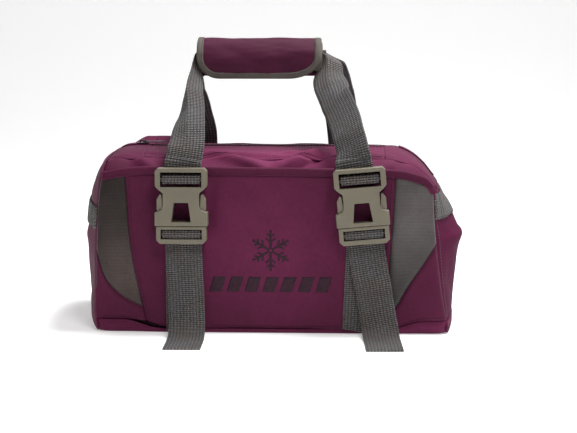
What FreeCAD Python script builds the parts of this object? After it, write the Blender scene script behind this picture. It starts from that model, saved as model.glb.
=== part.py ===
import math
import os
import re

import FreeCAD
import Part
import Sketcher

# A small sports duffle bag that stands on its base: sewn fabric panels, a zipped top, an open front
# pocket, two webbing handles joined by a padded wrap, and a side-release buckle on each front strap.
# +X runs along the bag to its right-hand end, -Y is the front with the buckles, +Z is up.
# The origin is the middle of the base, on the surface that the bag stands on. Millimetres.

Vector = FreeCAD.Vector
doc = FreeCAD.newDocument("sports_bag")

# ---------------------------------------------------------------- driving dimensions
SIZES = {
    # bag body
    "bag_length": 400.0,
    "bag_depth": 200.0,
    "bag_height": 191.0,
    "base_length": 388.0,
    "widest_height": 92.0,
    "shoulder_height": 176.0,
    "top_left": 174.0,
    "top_right": 146.0,
    "fabric": 1.6,
    "base_corner": 14.0,
    "base_wrap": 12.0,
    "pocket_gap": 6.4,
    "pocket_bulge": 1.6,
    "pocket_top": 176.0,
    "hem_height": 9.0,
    "hem_thickness": 2.6,
    # top flaps and zipper
    "flap_hinge_y": 66.0,
    "flap_length": 256.0,
    "mouth_x": -12.0,
    "tape_width": 13.0,
    "coil_width": 3.0,
    "coil_height": 2.2,
    "chain_gap": 1.2,
    "slider_length": 13.0,
    "slider_width": 9.0,
    "slider_plate": 1.4,
    "slider_clearance": 0.35,
    "slider_web": 0.44,
    "bridge_length": 7.2,
    "bridge_width": 2.2,
    "bridge_height": 2.6,
    "bridge_wall": 0.9,
    "slider_travel": 275.6,
    "tape_thickness": 0.8,
    "stop_length": 1.6,
    "end_coil": 17.0,
    "pull_length": 24.0,
    "pull_width": 7.0,
    "pull_thickness": 1.0,
    # base board
    "board_length": 352.0,
    "board_depth": 164.0,
    "board_shift": 4.0,
    "board_thickness": 2.5,
    # webbing
    "webbing_width": 38.0,
    "webbing": 1.8,
    "strap_left_x": -95.0,
    "strap_right_x": 92.0,
    "front_leg_left_x": -95.0,
    "front_leg_right_x": 89.5,
    "rear_leg_left_x": -95.0,
    "rear_leg_right_x": 73.0,
    "low_strap_left_x": -94.0,
    "low_strap_right_x": 95.5,
    "low_strap_left_lean": 0.0,
    "low_strap_right_lean": 4.0,
    "tail_drift_left": 6.0,
    "tail_drift_right": 20.0,
    "tail_reach": 188.0,
    "band_width": 25.0,
    "band_left_z": 109.0,
    "band_right_z": 122.0,
    "band_front_y": -78.0,
    "band_rear_y": 80.0,
    # buckles
    "buckle_y": -112.0,
    "buckle_left_z": 136.5,
    "buckle_right_z": 137.0,
    "buckle_right_tilt": 5.0,
    "buckle_depth": 12.0,
    "buckle_half": 27.0,
    "buckle_top": 39.5,
    "frame_foot": 21.0,
    "slot_half": 21.5,
    "slot_top": 35.2,
    "slot_foot": 19.8,
    "waist_half": 19.0,
    "waist_top": 13.5,
    "waist_foot": -3.6,
    "mouth_half": 27.6,
    "mouth_top": -6.4,
    "mouth_foot": -20.8,
    "cavity_half": 26.0,
    "cavity_depth": 7.8,
    "window_top": 3.6,
    "window_foot": -16.6,
    "window_top_half": 7.6,
    "window_foot_half": 10.2,
    "plug_top": -21.1,
    "plug_foot": -39.5,
    "plug_half": 26.2,
    "plug_slot_top": -24.4,
    "plug_slot_foot": -34.6,
    "prong_depth": 7.0,
    "prong_root": -20.7,
    "prong_top": 12.6,
    "lobe_outer": 25.5,
    "lobe_inner": 20.4,
    "lobe_foot": -5.8,
    "arm_inner": 14.4,
    "arm_outer": 19.6,
    "bar_height": 2.2,
    "bar_depth": 3.0,
    "socket_bar": 27.4,
    "plug_bar": -29.5,
    "buckle_round": 1.0,
    # handle
    "handle_x": -20.0,
    "handle_z": 285.0,
    "wrap_length": 134.0,
    "wrap_radius": 18.0,
    "wrap_wall": 5.0,
    "flap_wall": 2.4,
    "sleeve_from": -96.0,
    "sleeve_to": 222.0,
    "cover_from": 96.0,
    "cover_to": 230.0,
    "binding_turn": 16.0,
    "strip_from": 180.0,
    "strip_to": 214.0,
    "strip_margin": 34.0,
    "loop_thickness": 1.0,
    "hook_thickness": 1.1,
    "binding_width": 6.0,
    "core_width": 20.0,
}

sheet = doc.addObject("Spreadsheet::Sheet", "Sizes")
for row, (alias, amount) in enumerate(SIZES.items(), start=1):
    sheet.set(f"A{row}", alias)
    sheet.set(f"B{row}", str(amount))
    sheet.setAlias(f"B{row}", alias)
doc.recompute()


def size(expression):
    """The number that an expression over the sheet's aliases gives."""
    words = str(expression)
    if words.lstrip("-").replace(".", "").isdigit():
        return float(words)
    amount = sheet.evalExpression(words)
    return float(getattr(amount, "Value", amount))


def bound(expression):
    """The same expression as another object has to write it, with the sheet named before each alias."""
    return re.sub(r"[a-z_]+", lambda word: f"<<Sizes>>.{word.group()}", str(expression))


def bind(item, name, expression):
    item.setExpression(name, bound(expression))


# ---------------------------------------------------------------- sketch and feature helpers
def plane(body, role):
    return next(f for f in body.Origin.OriginFeatures if f.Role == role)


def outline(body, name, role, corners, height="0"):
    """A closed sketch of straight sides whose corners are pairs of expressions."""
    sketch = body.newObject("Sketcher::SketchObject", name)
    sketch.AttachmentSupport = [(plane(body, role), "")]
    sketch.MapMode = "FlatFace"
    bind(sketch, "AttachmentOffset.Base.z", height)
    spots = [Vector(size(across), size(up), 0) for across, up in corners]
    count = len(spots)
    for i in range(count):
        sketch.addGeometry(Part.LineSegment(spots[i], spots[(i + 1) % count]), False)
    for i in range(count):
        sketch.addConstraint(Sketcher.Constraint("Coincident", i, 2, (i + 1) % count, 1))
    for i, (across, up) in enumerate(corners):
        for kind, words in (("DistanceX", across), ("DistanceY", up)):
            row = sketch.addConstraint(Sketcher.Constraint(kind, -1, 1, i, 1, size(words)))
            bind(sketch, f"Constraints[{row}]", words)
    return sketch


def mirrored(right_side):
    """Corners of an outline that is the same on both sides of its middle line."""
    return right_side + [(f"-({across})", up) for across, up in reversed(right_side)]


def rectangle(half_width, foot, top):
    return mirrored([(half_width, foot), (half_width, top)])


def new_body(label):
    return doc.addObject("PartDesign::Body", label)


def pad(body, sketch, depth):
    """A pad that grows equally to both sides of its sketch."""
    feature = body.newObject("PartDesign::Pad", sketch.Name + "_pad")
    feature.Profile = sketch
    feature.SideType = "Symmetric"
    bind(feature, "Length", depth)
    sketch.Visibility = False
    doc.recompute()
    return feature


def pocket(body, sketch, depth):
    """A pocket that cuts equally to both sides of its sketch."""
    before = body.Shape.Volume
    feature = body.newObject("PartDesign::Pocket", sketch.Name + "_pocket")
    feature.Profile = sketch
    feature.SideType = "Symmetric"
    bind(feature, "Length", depth)
    doc.recompute()
    if body.Shape.Volume >= before - 1e-6:
        raise RuntimeError(f"{sketch.Name} cuts nothing")
    return feature


def rounded(body, base, radius):
    """Rounds every edge of a feature."""
    feature = body.newObject("PartDesign::Fillet", base.Name + "_round")
    feature.Base = (base, ["Edge1"])
    feature.UseAllEdges = True
    bind(feature, "Radius", radius)
    doc.recompute()
    return feature


def put(item, across="0", deep="0", up="0", tilt="0"):
    """Places an item; a tilt turns its foot towards +X about the Y axis."""
    turn = FreeCAD.Rotation(Vector(0, -1, 0), size(tilt))
    item.Placement = FreeCAD.Placement(Vector(size(across), size(deep), size(up)), turn)
    bind(item, "Placement.Base.x", across)
    bind(item, "Placement.Base.y", deep)
    bind(item, "Placement.Base.z", up)
    return item


NODES = []


def node(item):
    NODES.append(item)
    return item


def fabric_piece(label, shape):
    """A sewn piece whose curved shape is worked out from the sheet's values."""
    item = doc.addObject("Part::Feature", label)
    item.Shape = shape
    return node(item)


def box(x_low, x_high, y_low, y_high, z_low, z_high):
    return Part.makeBox(x_high - x_low, y_high - y_low, z_high - z_low, Vector(x_low, y_low, z_low))


def one_solid(shape):
    """The single solid of a boolean's result."""
    solids = sorted(shape.Solids, key=lambda solid: solid.Volume)
    if not solids:
        raise RuntimeError("a boolean left no solid")
    return solids[-1]


# ---------------------------------------------------------------- the bag's outer forms
HALF_DEPTH = size("bag_depth / 2")
HEIGHT = size("bag_height")
FABRIC = size("fabric")
WRAP = size("base_wrap")
FRONT_WALL = -HALF_DEPTH + size("fabric + pocket_gap")
HINGE_Y = size("flap_hinge_y")
HINGE_Z = HEIGHT - 5.0
FAR = 400.0


def side_face(front, inset):
    """The bag's outline seen from its end, as a face across the X axis; inset shrinks it all round."""
    rear = HALF_DEPTH
    corner = size("base_corner")
    lean = 3.0
    shoulder = size("shoulder_height")
    chest = shoulder - 32.0

    def spot(deep, up):
        return Vector(-FAR, deep, up)

    edges = [
        Part.LineSegment(spot(front + corner, 0), spot(rear - corner, 0)),
        Part.Arc(spot(rear - corner, 0), spot(rear - corner * 0.29, corner * 0.29), spot(rear, corner)),
        Part.LineSegment(spot(rear, corner), spot(rear - lean, chest)),
        Part.Arc(spot(rear - lean, chest), spot(rear - 10.5, shoulder - 5.0), spot(HINGE_Y, HINGE_Z)),
        Part.Arc(spot(HINGE_Y, HINGE_Z), spot(0, HEIGHT), spot(-HINGE_Y, HINGE_Z)),
        Part.Arc(spot(-HINGE_Y, HINGE_Z), spot(front + 7.5, shoulder - 5.0), spot(front + lean, chest)),
        Part.LineSegment(spot(front + lean, chest), spot(front, corner)),
        Part.Arc(spot(front, corner), spot(front + corner * 0.29, corner * 0.29), spot(front + corner, 0)),
    ]
    wire = Part.Wire([edge.toShape() for edge in edges])
    if inset:
        wire = wire.makeOffset2D(-inset)
    return Part.Face(wire)


def end_face(inset):
    """The bag's outline seen from the front, far taller than the bag, as a face across the Y axis."""
    foot = size("base_length / 2")
    waist = size("bag_length / 2")
    waist_up = size("widest_height")

    def flank(side, top):
        """One end's edges, from below the base up to above the roof; side is -1 for the left end."""
        def spot(across, up):
            return Vector(side * across, -FAR, up)
        return [
            Part.LineSegment(spot(foot, -60), spot(foot, 0)),
            Part.Arc(spot(foot, 0), spot(foot + 5.4, waist_up / 2), spot(waist, waist_up)),
            Part.Arc(spot(waist, waist_up), spot((waist + top) / 2 + 11.5, 150), spot(top, HEIGHT + 1)),
            Part.LineSegment(spot(top, HEIGHT + 1), spot(top - 50, HEIGHT + 40)),
        ]

    right = flank(1, size("top_right"))
    left = flank(-1, size("top_left"))
    roof = Part.LineSegment(right[-1].EndPoint, left[-1].EndPoint)
    floor = Part.LineSegment(left[0].StartPoint, right[0].StartPoint)
    edges = [edge.toShape() for edge in right + [roof] + left + [floor]]
    wire = Part.Wire(Part.__sortEdges__(edges))
    if inset:
        wire = wire.makeOffset2D(-inset)
    return Part.Face(wire)


def along_x(face):
    return face.extrude(Vector(2 * FAR, 0, 0))


def along_y(face):
    return face.extrude(Vector(0, 2 * FAR, 0))


BODY_OUTER = along_x(side_face(FRONT_WALL, 0))
BODY_INNER = along_x(side_face(FRONT_WALL, FABRIC))
WHOLE_OUTER = along_x(side_face(-HALF_DEPTH, 0))
ENDS_OUTER = along_y(end_face(0))
ENDS_INNER = along_y(end_face(FABRIC))
WALLS = BODY_OUTER.cut(BODY_INNER).common(ENDS_INNER)
FLAP_LEFT = size("mouth_x - flap_length / 2")
FLAP_RIGHT = size("mouth_x + flap_length / 2")
EDGE_GAP = 1.3


def end_panel(label, low, high):
    fabric_piece(label, one_solid(WHOLE_OUTER.common(ENDS_OUTER).cut(ENDS_INNER).common(
        box(low, high, -FAR, FAR, -10, FAR))))


def body_panels():
    """The panels of the main compartment, cut from one shell along their seams."""
    end_panel("left_end_panel", -FAR, 0)
    end_panel("right_end_panel", 0, FAR)
    fabric_piece("front_panel", one_solid(WALLS.common(box(-FAR, FAR, -FAR, -HINGE_Y - 9, WRAP, FAR))))
    fabric_piece("back_panel", one_solid(WALLS.common(box(-FAR, FAR, HINGE_Y + 9, FAR, WRAP, FAR))))
    base = WHOLE_OUTER.cut(BODY_INNER).common(ENDS_INNER)
    fabric_piece("base_panel", one_solid(base.common(box(-FAR, FAR, -FAR, FAR, -1, WRAP))))


def top_pieces():
    """The fixed border round the mouth, and the two flaps that the zipper joins."""
    roof = WALLS.common(box(-FAR, FAR, -HINGE_Y - 9, HINGE_Y + 9, HEIGHT / 2, FAR))
    for label, low, high in (
        ("top_border_front", -HINGE_Y - 9, -HINGE_Y - EDGE_GAP),
        ("top_border_rear", HINGE_Y + EDGE_GAP, HINGE_Y + 9),
    ):
        fabric_piece(label, one_solid(roof.common(box(-FAR, FAR, low, high, 0, FAR))))
    inner = HINGE_Y + EDGE_GAP
    tape = size("chain_gap / 2 + coil_width")
    slit = box(FLAP_LEFT - EDGE_GAP - size("end_coil"), FLAP_RIGHT + EDGE_GAP + size("end_coil"),
               -tape, tape, 0, FAR)
    for label, low, high in (
        ("top_end_left", -FAR, FLAP_LEFT - EDGE_GAP),
        ("top_end_right", FLAP_RIGHT + EDGE_GAP, FAR),
    ):
        slab = roof.common(box(low, high, -inner, inner, 0, FAR))
        fabric_piece(label, one_solid(slab.cut(slit)))
    for label, low, high in (
        ("top_flap_front", -HINGE_Y, -tape),
        ("top_flap_rear", tape, HINGE_Y),
    ):
        fabric_piece(label, one_solid(roof.common(box(FLAP_LEFT, FLAP_RIGHT, low, high, 0, FAR))))


def on_roof(low_x, high_x, low_y, high_y, under, over):
    """A strip of the roof's curve, between two heights measured from its outer face."""
    outer = along_x(side_face(FRONT_WALL, -over)) if over else BODY_OUTER
    inner = along_x(side_face(FRONT_WALL, under))
    return one_solid(outer.cut(inner).common(box(low_x, high_x, low_y, high_y, HEIGHT / 2, FAR)))


def zipper():
    """Coil chains on the flaps, short fixed chains at both ends, tapes under the flaps, and end stops."""
    gap = size("chain_gap / 2")
    coil = gap + size("coil_width")
    tape = gap + size("tape_width")
    rise = size("coil_height") - FABRIC
    inside = along_x(side_face(FRONT_WALL, FABRIC))
    for place, side in (("front", -1), ("rear", 1)):
        low, high = sorted((side * gap, side * coil))
        fabric_piece(f"coil_{place}", on_roof(FLAP_LEFT, FLAP_RIGHT, low, high, FABRIC, rise))
        low, high = sorted((side * (gap + 1), side * tape))
        strip = on_roof(FLAP_LEFT, FLAP_RIGHT, low, high, FABRIC + size("tape_thickness"), 0)
        fabric_piece(f"tape_{place}", one_solid(strip.common(inside)))
    long = size("end_coil")
    stop_long = size("stop_length")
    for label, low, stop in (
        ("coil_end_left", FLAP_LEFT - EDGE_GAP - long, FLAP_LEFT - EDGE_GAP - long),
        ("coil_end_right", FLAP_RIGHT + EDGE_GAP, FLAP_RIGHT + EDGE_GAP + long - stop_long),
    ):
        halves = [on_roof(low, low + long, *sorted((side * gap, side * coil)), FABRIC, rise)
                  for side in (-1, 1)]
        bridge = on_roof(stop, stop + stop_long, -coil, coil, FABRIC, rise + 0.6)
        fabric_piece(label, one_solid(halves[0].fuse([halves[1], bridge])))


def slider():
    """The slider's two plates hold the coils between them, joined by a thin web in the chain's gap."""
    clearance = size("slider_clearance")
    top = HEIGHT + size("coil_height") - FABRIC + clearance
    foot = HEIGHT - FABRIC - size("tape_thickness") - clearance
    half = size("slider_width / 2")
    long = size("slider_length / 2")
    plate = size("slider_plate")
    rest = size("mouth_x - slider_travel / 2")
    upper = box(rest - long, rest + long, -half, half, top, top + plate)
    upper = upper.makeFillet(1.2, [edge for edge in upper.Edges if abs(edge.tangentAt(0).z) > 0.9])
    inset = 0.8
    lower = box(rest - long, rest + long, -half + inset, half - inset, foot - 1.0, foot)
    web_half = size("slider_web / 2")
    web = box(rest - long + 2, rest + long - 2, -web_half, web_half, foot - 0.2, top + 0.2)
    reach = size("bridge_length / 2")
    bridge_half = size("bridge_width / 2")
    rise = size("bridge_height")
    wall = size("bridge_wall")
    bridge = box(rest - reach, rest + reach, -bridge_half, bridge_half,
                 top + plate - 0.1, top + plate + rise)
    eye = box(rest - reach + wall + 0.4, rest + reach - wall - 0.4, -bridge_half - 1, bridge_half + 1,
              top + plate, top + plate + rise - wall)
    fabric_piece("zipper_slider", one_solid(upper.fuse([lower, web, bridge.cut(eye)])))
    pull = new_body("zipper_pull")
    sketch = outline(pull, "pull_outline", "XY_Plane", [
        ("0.5", "-pull_width * 0.36"), ("0.5", "pull_width * 0.36"),
        ("5", "pull_width / 2"), ("pull_length - 3", "pull_width / 2"), ("pull_length", "pull_width * 0.3"),
        ("pull_length", "-pull_width * 0.3"), ("pull_length - 3", "-pull_width / 2"),
        ("5", "-pull_width / 2"),
    ])
    pad(pull, sketch, "pull_thickness")
    eye = outline(pull, "pull_eye", "XY_Plane", [
        ("1.5", "-1.6"), ("1.5", "1.6"), ("4.5", "1.6"), ("4.5", "-1.6")])
    pocket(pull, eye, "pull_thickness + 1")
    put(pull, "mouth_x - slider_travel / 2", "0",
        "bag_height + coil_height - fabric + slider_clearance + slider_plate + 0.95")
    node(pull)


def pocket_front():
    """The open pocket's outer wall: a middle panel, two ribbed inserts, two corner panels and a hem."""
    deep = -HALF_DEPTH
    bulge = size("pocket_bulge")
    top = size("pocket_top")
    hem = size("hem_height")

    def wall(low, high, extra):
        """The pocket wall between two heights, as thick as the fabric plus extra on its outer side."""
        def spot(out, up):
            return Vector(-FAR, deep + FABRIC - out, up)

        def upright(out):
            """The wall's gently bulging upright line, at a distance out from its inner face."""
            return Part.Arc(spot(out, WRAP), spot(out + bulge, (WRAP + top) / 2), spot(out - 1, top))

        outer, inner = upright(FABRIC + extra), upright(0)
        head = Part.LineSegment(outer.EndPoint, inner.EndPoint)
        foot = Part.LineSegment(inner.StartPoint, outer.StartPoint)
        edges = [edge.toShape() for edge in (outer, inner, head, foot)]
        wire = Part.Wire(Part.__sortEdges__(edges))
        whole = along_x(Part.Face(wire)).common(ENDS_INNER)
        return whole.common(box(-FAR, FAR, -FAR, FAR, low, high))

    cloth = wall(WRAP, top - hem, 0)

    def cut_out(corners):
        """The part of the wall inside an outline given as (across, up) corners and arc middles."""
        edges = []
        for start, middle, end in corners:
            first, last = Vector(start[0], -FAR, start[1]), Vector(end[0], -FAR, end[1])
            if middle:
                edges.append(Part.Arc(first, Vector(middle[0], -FAR, middle[1]), last).toShape())
            else:
                edges.append(Part.LineSegment(first, last).toShape())
        return along_y(Part.Face(Part.Wire(edges)))

    high = top + 20
    below = -20.0
    beyond = 230.0
    for side, name, seam_top, seam_mid, tip, outer_mid, outer_top in (
        (-1, "left", 155.5, 150.0, (138.0, 28.0), (170.0, 54.0), (192.0, 88.0)),
        (1, "right", 127.0, 121.0, (126.0, 25.0), (157.0, 59.0), (190.0, 96.0)),
    ):
        seam = [((side * seam_top, high), (side * seam_mid, 84.0), (side * tip[0], tip[1]))]
        curve = [((side * tip[0], tip[1]), (side * outer_mid[0], outer_mid[1]),
                  (side * outer_top[0], outer_top[1]))]
        rim = [((side * outer_top[0], outer_top[1]), None, (side * beyond, outer_top[1] + 10.0)),
               ((side * beyond, outer_top[1] + 10.0), None, (side * beyond, high)),
               ((side * beyond, high), None, (side * seam_top, high))]
        insert = cut_out(seam + curve + rim)
        fabric_piece(f"{name}_mesh_insert", one_solid(cloth.common(insert)))
        foot = (side * (tip[0] + 6), below)
        outside = cut_out(seam + [((side * tip[0], tip[1]), None, foot),
                                  (foot, None, (side * beyond, below)),
                                  ((side * beyond, below), None, (side * beyond, high)),
                                  ((side * beyond, high), None, (side * seam_top, high))])
        fabric_piece(f"{name}_corner_panel", one_solid(cloth.common(outside.cut(insert))))
        cloth = one_solid(cloth.cut(outside))
    fabric_piece("pocket_panel", cloth)
    fabric_piece("pocket_hem", one_solid(wall(top - hem, top, size("hem_thickness") - FABRIC)))


def base_board():
    board = new_body("base_board")
    sketch = outline(board, "board_outline", "XY_Plane", mirrored([
        ("board_length / 2 - 8", "-board_depth / 2"), ("board_length / 2", "-board_depth / 2 + 8"),
        ("board_length / 2", "board_depth / 2 - 8"), ("board_length / 2 - 8", "board_depth / 2")]))
    pad(board, sketch, "board_thickness")
    put(board, "0", "board_shift", "fabric + 0.4 + board_thickness / 2")
    node(board)


def end_bands():
    """A short webbing band sewn across each end panel near its top, as a grip."""
    width = size("band_width")
    outside = along_y(end_face(-size("webbing")))
    for name, side in (("left", -1), ("right", 1)):
        rise = size(f"band_{name}_z")
        skin = outside.cut(ENDS_OUTER)
        near, far = sorted((0, side * FAR))
        strip = box(near, far, size("band_front_y"), size("band_rear_y"), rise, rise + width)
        fabric_piece(f"{name}_end_band", one_solid(skin.common(strip)))


# ---------------------------------------------------------------- webbing
LEVEL = (1.0, 0.0, 0.0)


def ribbon(path, thickness):
    """A flat strap through stations of (x, y, z, width, direction across its width)."""
    spots = [Vector(x, y, z) for x, y, z, _, _ in path]
    rings = []
    for i, (_, _, _, width, level) in enumerate(path):
        before = spots[max(i - 1, 0)]
        after = spots[min(i + 1, len(spots) - 1)]
        run = (after - before).normalize()
        across = Vector(*level)
        across = (across - run * across.dot(run)).normalize()
        thick = run.cross(across).normalize()
        half, lift = across * (width / 2), thick * (thickness / 2)
        corners = [spots[i] + half + lift, spots[i] - half + lift,
                   spots[i] - half - lift, spots[i] + half - lift]
        rings.append(Part.makePolygon(corners + corners[:1]))
    return Part.makeLoft(rings, True, True)


def handle_legs():
    """The four webbing legs that rise from the bag and turn on edge into the ends of the wrap."""
    wide = size("webbing_width")
    thick = size("webbing")
    top_z = size("handle_z")
    for name, out in (("left", -1), ("right", 1)):
        end = size("handle_x") + out * size("wrap_length / 2")
        sides = (("front", -1, size("buckle_y") + 8.0, size(f"buckle_{name}_z") + 24),
                 ("rear", 1, HALF_DEPTH + 2.6, 150.0))
        for place, side, low_y, low_z in sides:
            foot = size(f"{place}_leg_{name}_x")
            lean = end - foot
            fabric_piece(f"{place}_strap_{name}", ribbon([
                (foot, low_y, low_z, wide, LEVEL),
                (foot, low_y, 178, wide, LEVEL),
                (foot + lean * 0.06, side * 98, 198, wide, LEVEL),
                (foot + lean * 0.26, side * 78, 226, wide - 3, LEVEL),
                (foot + lean * 0.55 + out, side * 48, 254, wide - 11, (1.0, 0.0, out * -0.2)),
                (end + out * 12.0, side * 20, 276, size("core_width"), (0.75, 0.0, out * -0.6)),
                (end + out * 3.4, side * 5.0, top_z, size("core_width") - 1, (0.1, 0.0, out * -1.0))],
                thick))


def back_webbing():
    for name in ("left", "right"):
        foot = size(f"rear_leg_{name}_x")
        fabric_piece(f"back_webbing_{name}", ribbon([
            (foot, HALF_DEPTH + 1.2, WRAP + 2, size("webbing_width"), LEVEL),
            (foot, HALF_DEPTH + 1.0, 70, size("webbing_width"), LEVEL),
            (foot, HALF_DEPTH + 0.8, 148, size("webbing_width"), LEVEL)], size("webbing")))


def lower_webbing():
    """On each side a strap sewn in at the base seam, and the free tail that hangs and lies in front."""
    wide = size("webbing_width")
    thick = size("webbing")
    front = size("buckle_y")
    reach = -size("tail_reach")
    for name in ("left", "right"):
        foot = size(f"low_strap_{name}_x")
        lean = size(f"low_strap_{name}_lean")
        drift = size(f"tail_drift_{name}")
        fabric_piece(f"lower_strap_{name}", ribbon([
            (foot - lean, -HALF_DEPTH - 2.7, 13, wide, LEVEL),
            (foot - lean / 2, -HALF_DEPTH - 3.0, 60, wide, LEVEL),
            (foot, -HALF_DEPTH - 3.0, 98, wide, LEVEL),
            (foot, -HALF_DEPTH - 3.2, 110, wide, LEVEL)], thick))
        fabric_piece(f"strap_tail_{name}", ribbon([
            (foot, front + 6.9, 104, wide, LEVEL),
            (foot + drift * 0.05, front + 6.7, 96, wide, LEVEL),
            (foot + drift * 0.25, front + 0.5, 70, wide, LEVEL),
            (foot + drift * 0.55, front - 1.5, 38, wide, LEVEL),
            (foot + drift * 0.75, front - 8.0, 15, wide, LEVEL),
            (foot + drift * 0.85, front - 20.0, 4.4, wide, LEVEL),
            (foot + drift * 0.92, front - 38.0, 1.6, wide, LEVEL),
            (foot + drift, reach, 1.2, wide, LEVEL)], thick))


def webbing_turn(name, half, bar_up, tilt):
    """The fold of webbing that is threaded over a buckle half's ladder bar."""
    body = new_body(f"webbing_turn_{name}")
    reach = "bar_depth / 2 + 0.2"
    side = "bar_height / 2 + 0.2"
    corners = [("4.6", f"{side} + webbing"), (f"-({reach}) - webbing", f"{side} + webbing"),
               (f"-({reach}) - webbing", f"-({side}) - webbing"), ("4.6", f"-({side}) - webbing"),
               ("4.6", f"-({side})"), (f"-({reach})", f"-({side})"),
               (f"-({reach})", side), ("4.6", side)]
    sketch = outline(body, f"turn_outline_{name}", "YZ_Plane", [
        (deep, f"{up} + {bar_up}") for deep, up in corners])
    pad(body, sketch, "webbing_width")
    put(body, f"strap_{half}_x", "buckle_y", f"buckle_{half}_z", tilt)
    node(body)


# ---------------------------------------------------------------- side-release buckles
def ladder_bar(body, name, middle):
    """The thin bar across a webbing slot that the webbing turns over."""
    bar = outline(body, f"{middle}_{name}", "XZ_Plane", rectangle(
        "slot_half + 1", f"{middle} - bar_height / 2", f"{middle} + bar_height / 2"))
    pad(body, bar, "bar_depth")


def buckle_socket(name, tilt):
    """The upper half: a frame with a webbing slot, and a hollow waist open at its sides and foot."""
    body = new_body(f"buckle_socket_{name}")
    shell = outline(body, f"socket_outline_{name}", "XZ_Plane", mirrored([
        ("mouth_half", "mouth_foot"), ("mouth_half", "mouth_top"),
        ("waist_half + 1.4", "waist_foot"), ("waist_half", "0"),
        ("waist_half", "waist_top"), ("slot_half + 2.5", "frame_foot - 3.5"),
        ("buckle_half", "frame_foot"), ("buckle_half", "buckle_top - 3"),
        ("buckle_half - 3", "buckle_top")]))
    rounded(body, pad(body, shell, "buckle_depth"), "buckle_round")
    slot = rectangle("slot_half", "slot_foot", "slot_top")
    pocket(body, outline(body, f"socket_slot_{name}", "XZ_Plane", slot), "buckle_depth + 2")
    ladder_bar(body, name, "socket_bar")
    window = outline(body, f"socket_window_{name}", "XZ_Plane", mirrored([
        ("window_foot_half", "window_foot"), ("window_top_half", "window_top")]))
    pocket(body, window, "buckle_depth + 2")
    hollow = outline(body, f"socket_hollow_{name}", "XZ_Plane", mirrored([
        ("cavity_half", "mouth_foot - 2"), ("cavity_half", "waist_top + 1")]))
    pocket(body, hollow, "cavity_depth")
    put(body, f"strap_{name}_x", "buckle_y", f"buckle_{name}_z", tilt)
    node(body)


def buckle_plug(name, tilt):
    """The lower half: a frame with a ladder slot for the webbing, and a short guide tongue."""
    body = new_body(f"buckle_plug_{name}")
    frame = outline(body, f"plug_outline_{name}", "XZ_Plane", mirrored([
        ("plug_half - 4", "plug_foot"), ("plug_half", "plug_foot + 4"),
        ("plug_half", "plug_top - 0.1")]))
    rounded(body, pad(body, frame, "buckle_depth - 1"), "buckle_round")
    slot = rectangle("slot_half", "plug_slot_foot", "plug_slot_top")
    pocket(body, outline(body, f"plug_slot_{name}", "XZ_Plane", slot), "buckle_depth + 2")
    ladder_bar(body, name, "plug_bar")
    tongue = outline(body, f"plug_tongue_{name}", "XZ_Plane", rectangle(
        "3.4", "plug_top - 1", "window_foot - 0.4"))
    pad(body, tongue, "prong_depth - 1")
    put(body, f"strap_{name}_x", "buckle_y", f"buckle_{name}_z", tilt)
    node(body)


def buckle_prong(name, side, tilt):
    """One springy arm of the plug, with the thumb lobe that shows beside the socket's waist."""
    sign = "-" if side == "left" else ""
    body = new_body(f"{name}_buckle_{side}_prong")
    arm = [("arm_inner", "prong_root"), ("arm_outer + 0.4", "prong_root"),
           ("lobe_outer - 2.6", "lobe_foot - 5"), ("lobe_outer", "lobe_foot + 2"),
           ("lobe_outer", "prong_top - 6"), ("lobe_outer - 3.2", "prong_top"),
           ("lobe_inner", "prong_top - 1"), ("lobe_inner - 1.4", "lobe_foot + 4"),
           ("arm_inner + 1", "lobe_foot - 6")]
    sketch = outline(body, f"prong_outline_{name}_{side}", "XZ_Plane",
                     [(f"{sign}({across})", up) for across, up in arm])
    rounded(body, pad(body, sketch, "prong_depth"), "0.6")
    put(body, f"strap_{name}_x", "buckle_y", f"buckle_{name}_z", tilt)
    node(body)


# ---------------------------------------------------------------- padded handle wrap
def ring_sector(radius, wall, start, end, length, middle_x):
    """A curved plate round the handle's axis: angles in degrees from +Y, turning towards +Z."""
    centre_z = size("handle_z")

    def spot(distance, angle):
        turn = math.radians(angle)
        across = distance * math.cos(turn)
        return Vector(middle_x - length / 2, across, centre_z + distance * math.sin(turn))

    middle = (start + end) / 2
    outer = Part.Arc(spot(radius, start), spot(radius, middle), spot(radius, end))
    inner = Part.Arc(spot(radius - wall, end), spot(radius - wall, middle), spot(radius - wall, start))
    last = Part.LineSegment(outer.EndPoint, inner.StartPoint)
    first = Part.LineSegment(inner.EndPoint, outer.StartPoint)
    wire = Part.Wire([edge.toShape() for edge in (outer, last, inner, first)])
    return Part.Face(wire).extrude(Vector(length, 0, 0))


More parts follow.
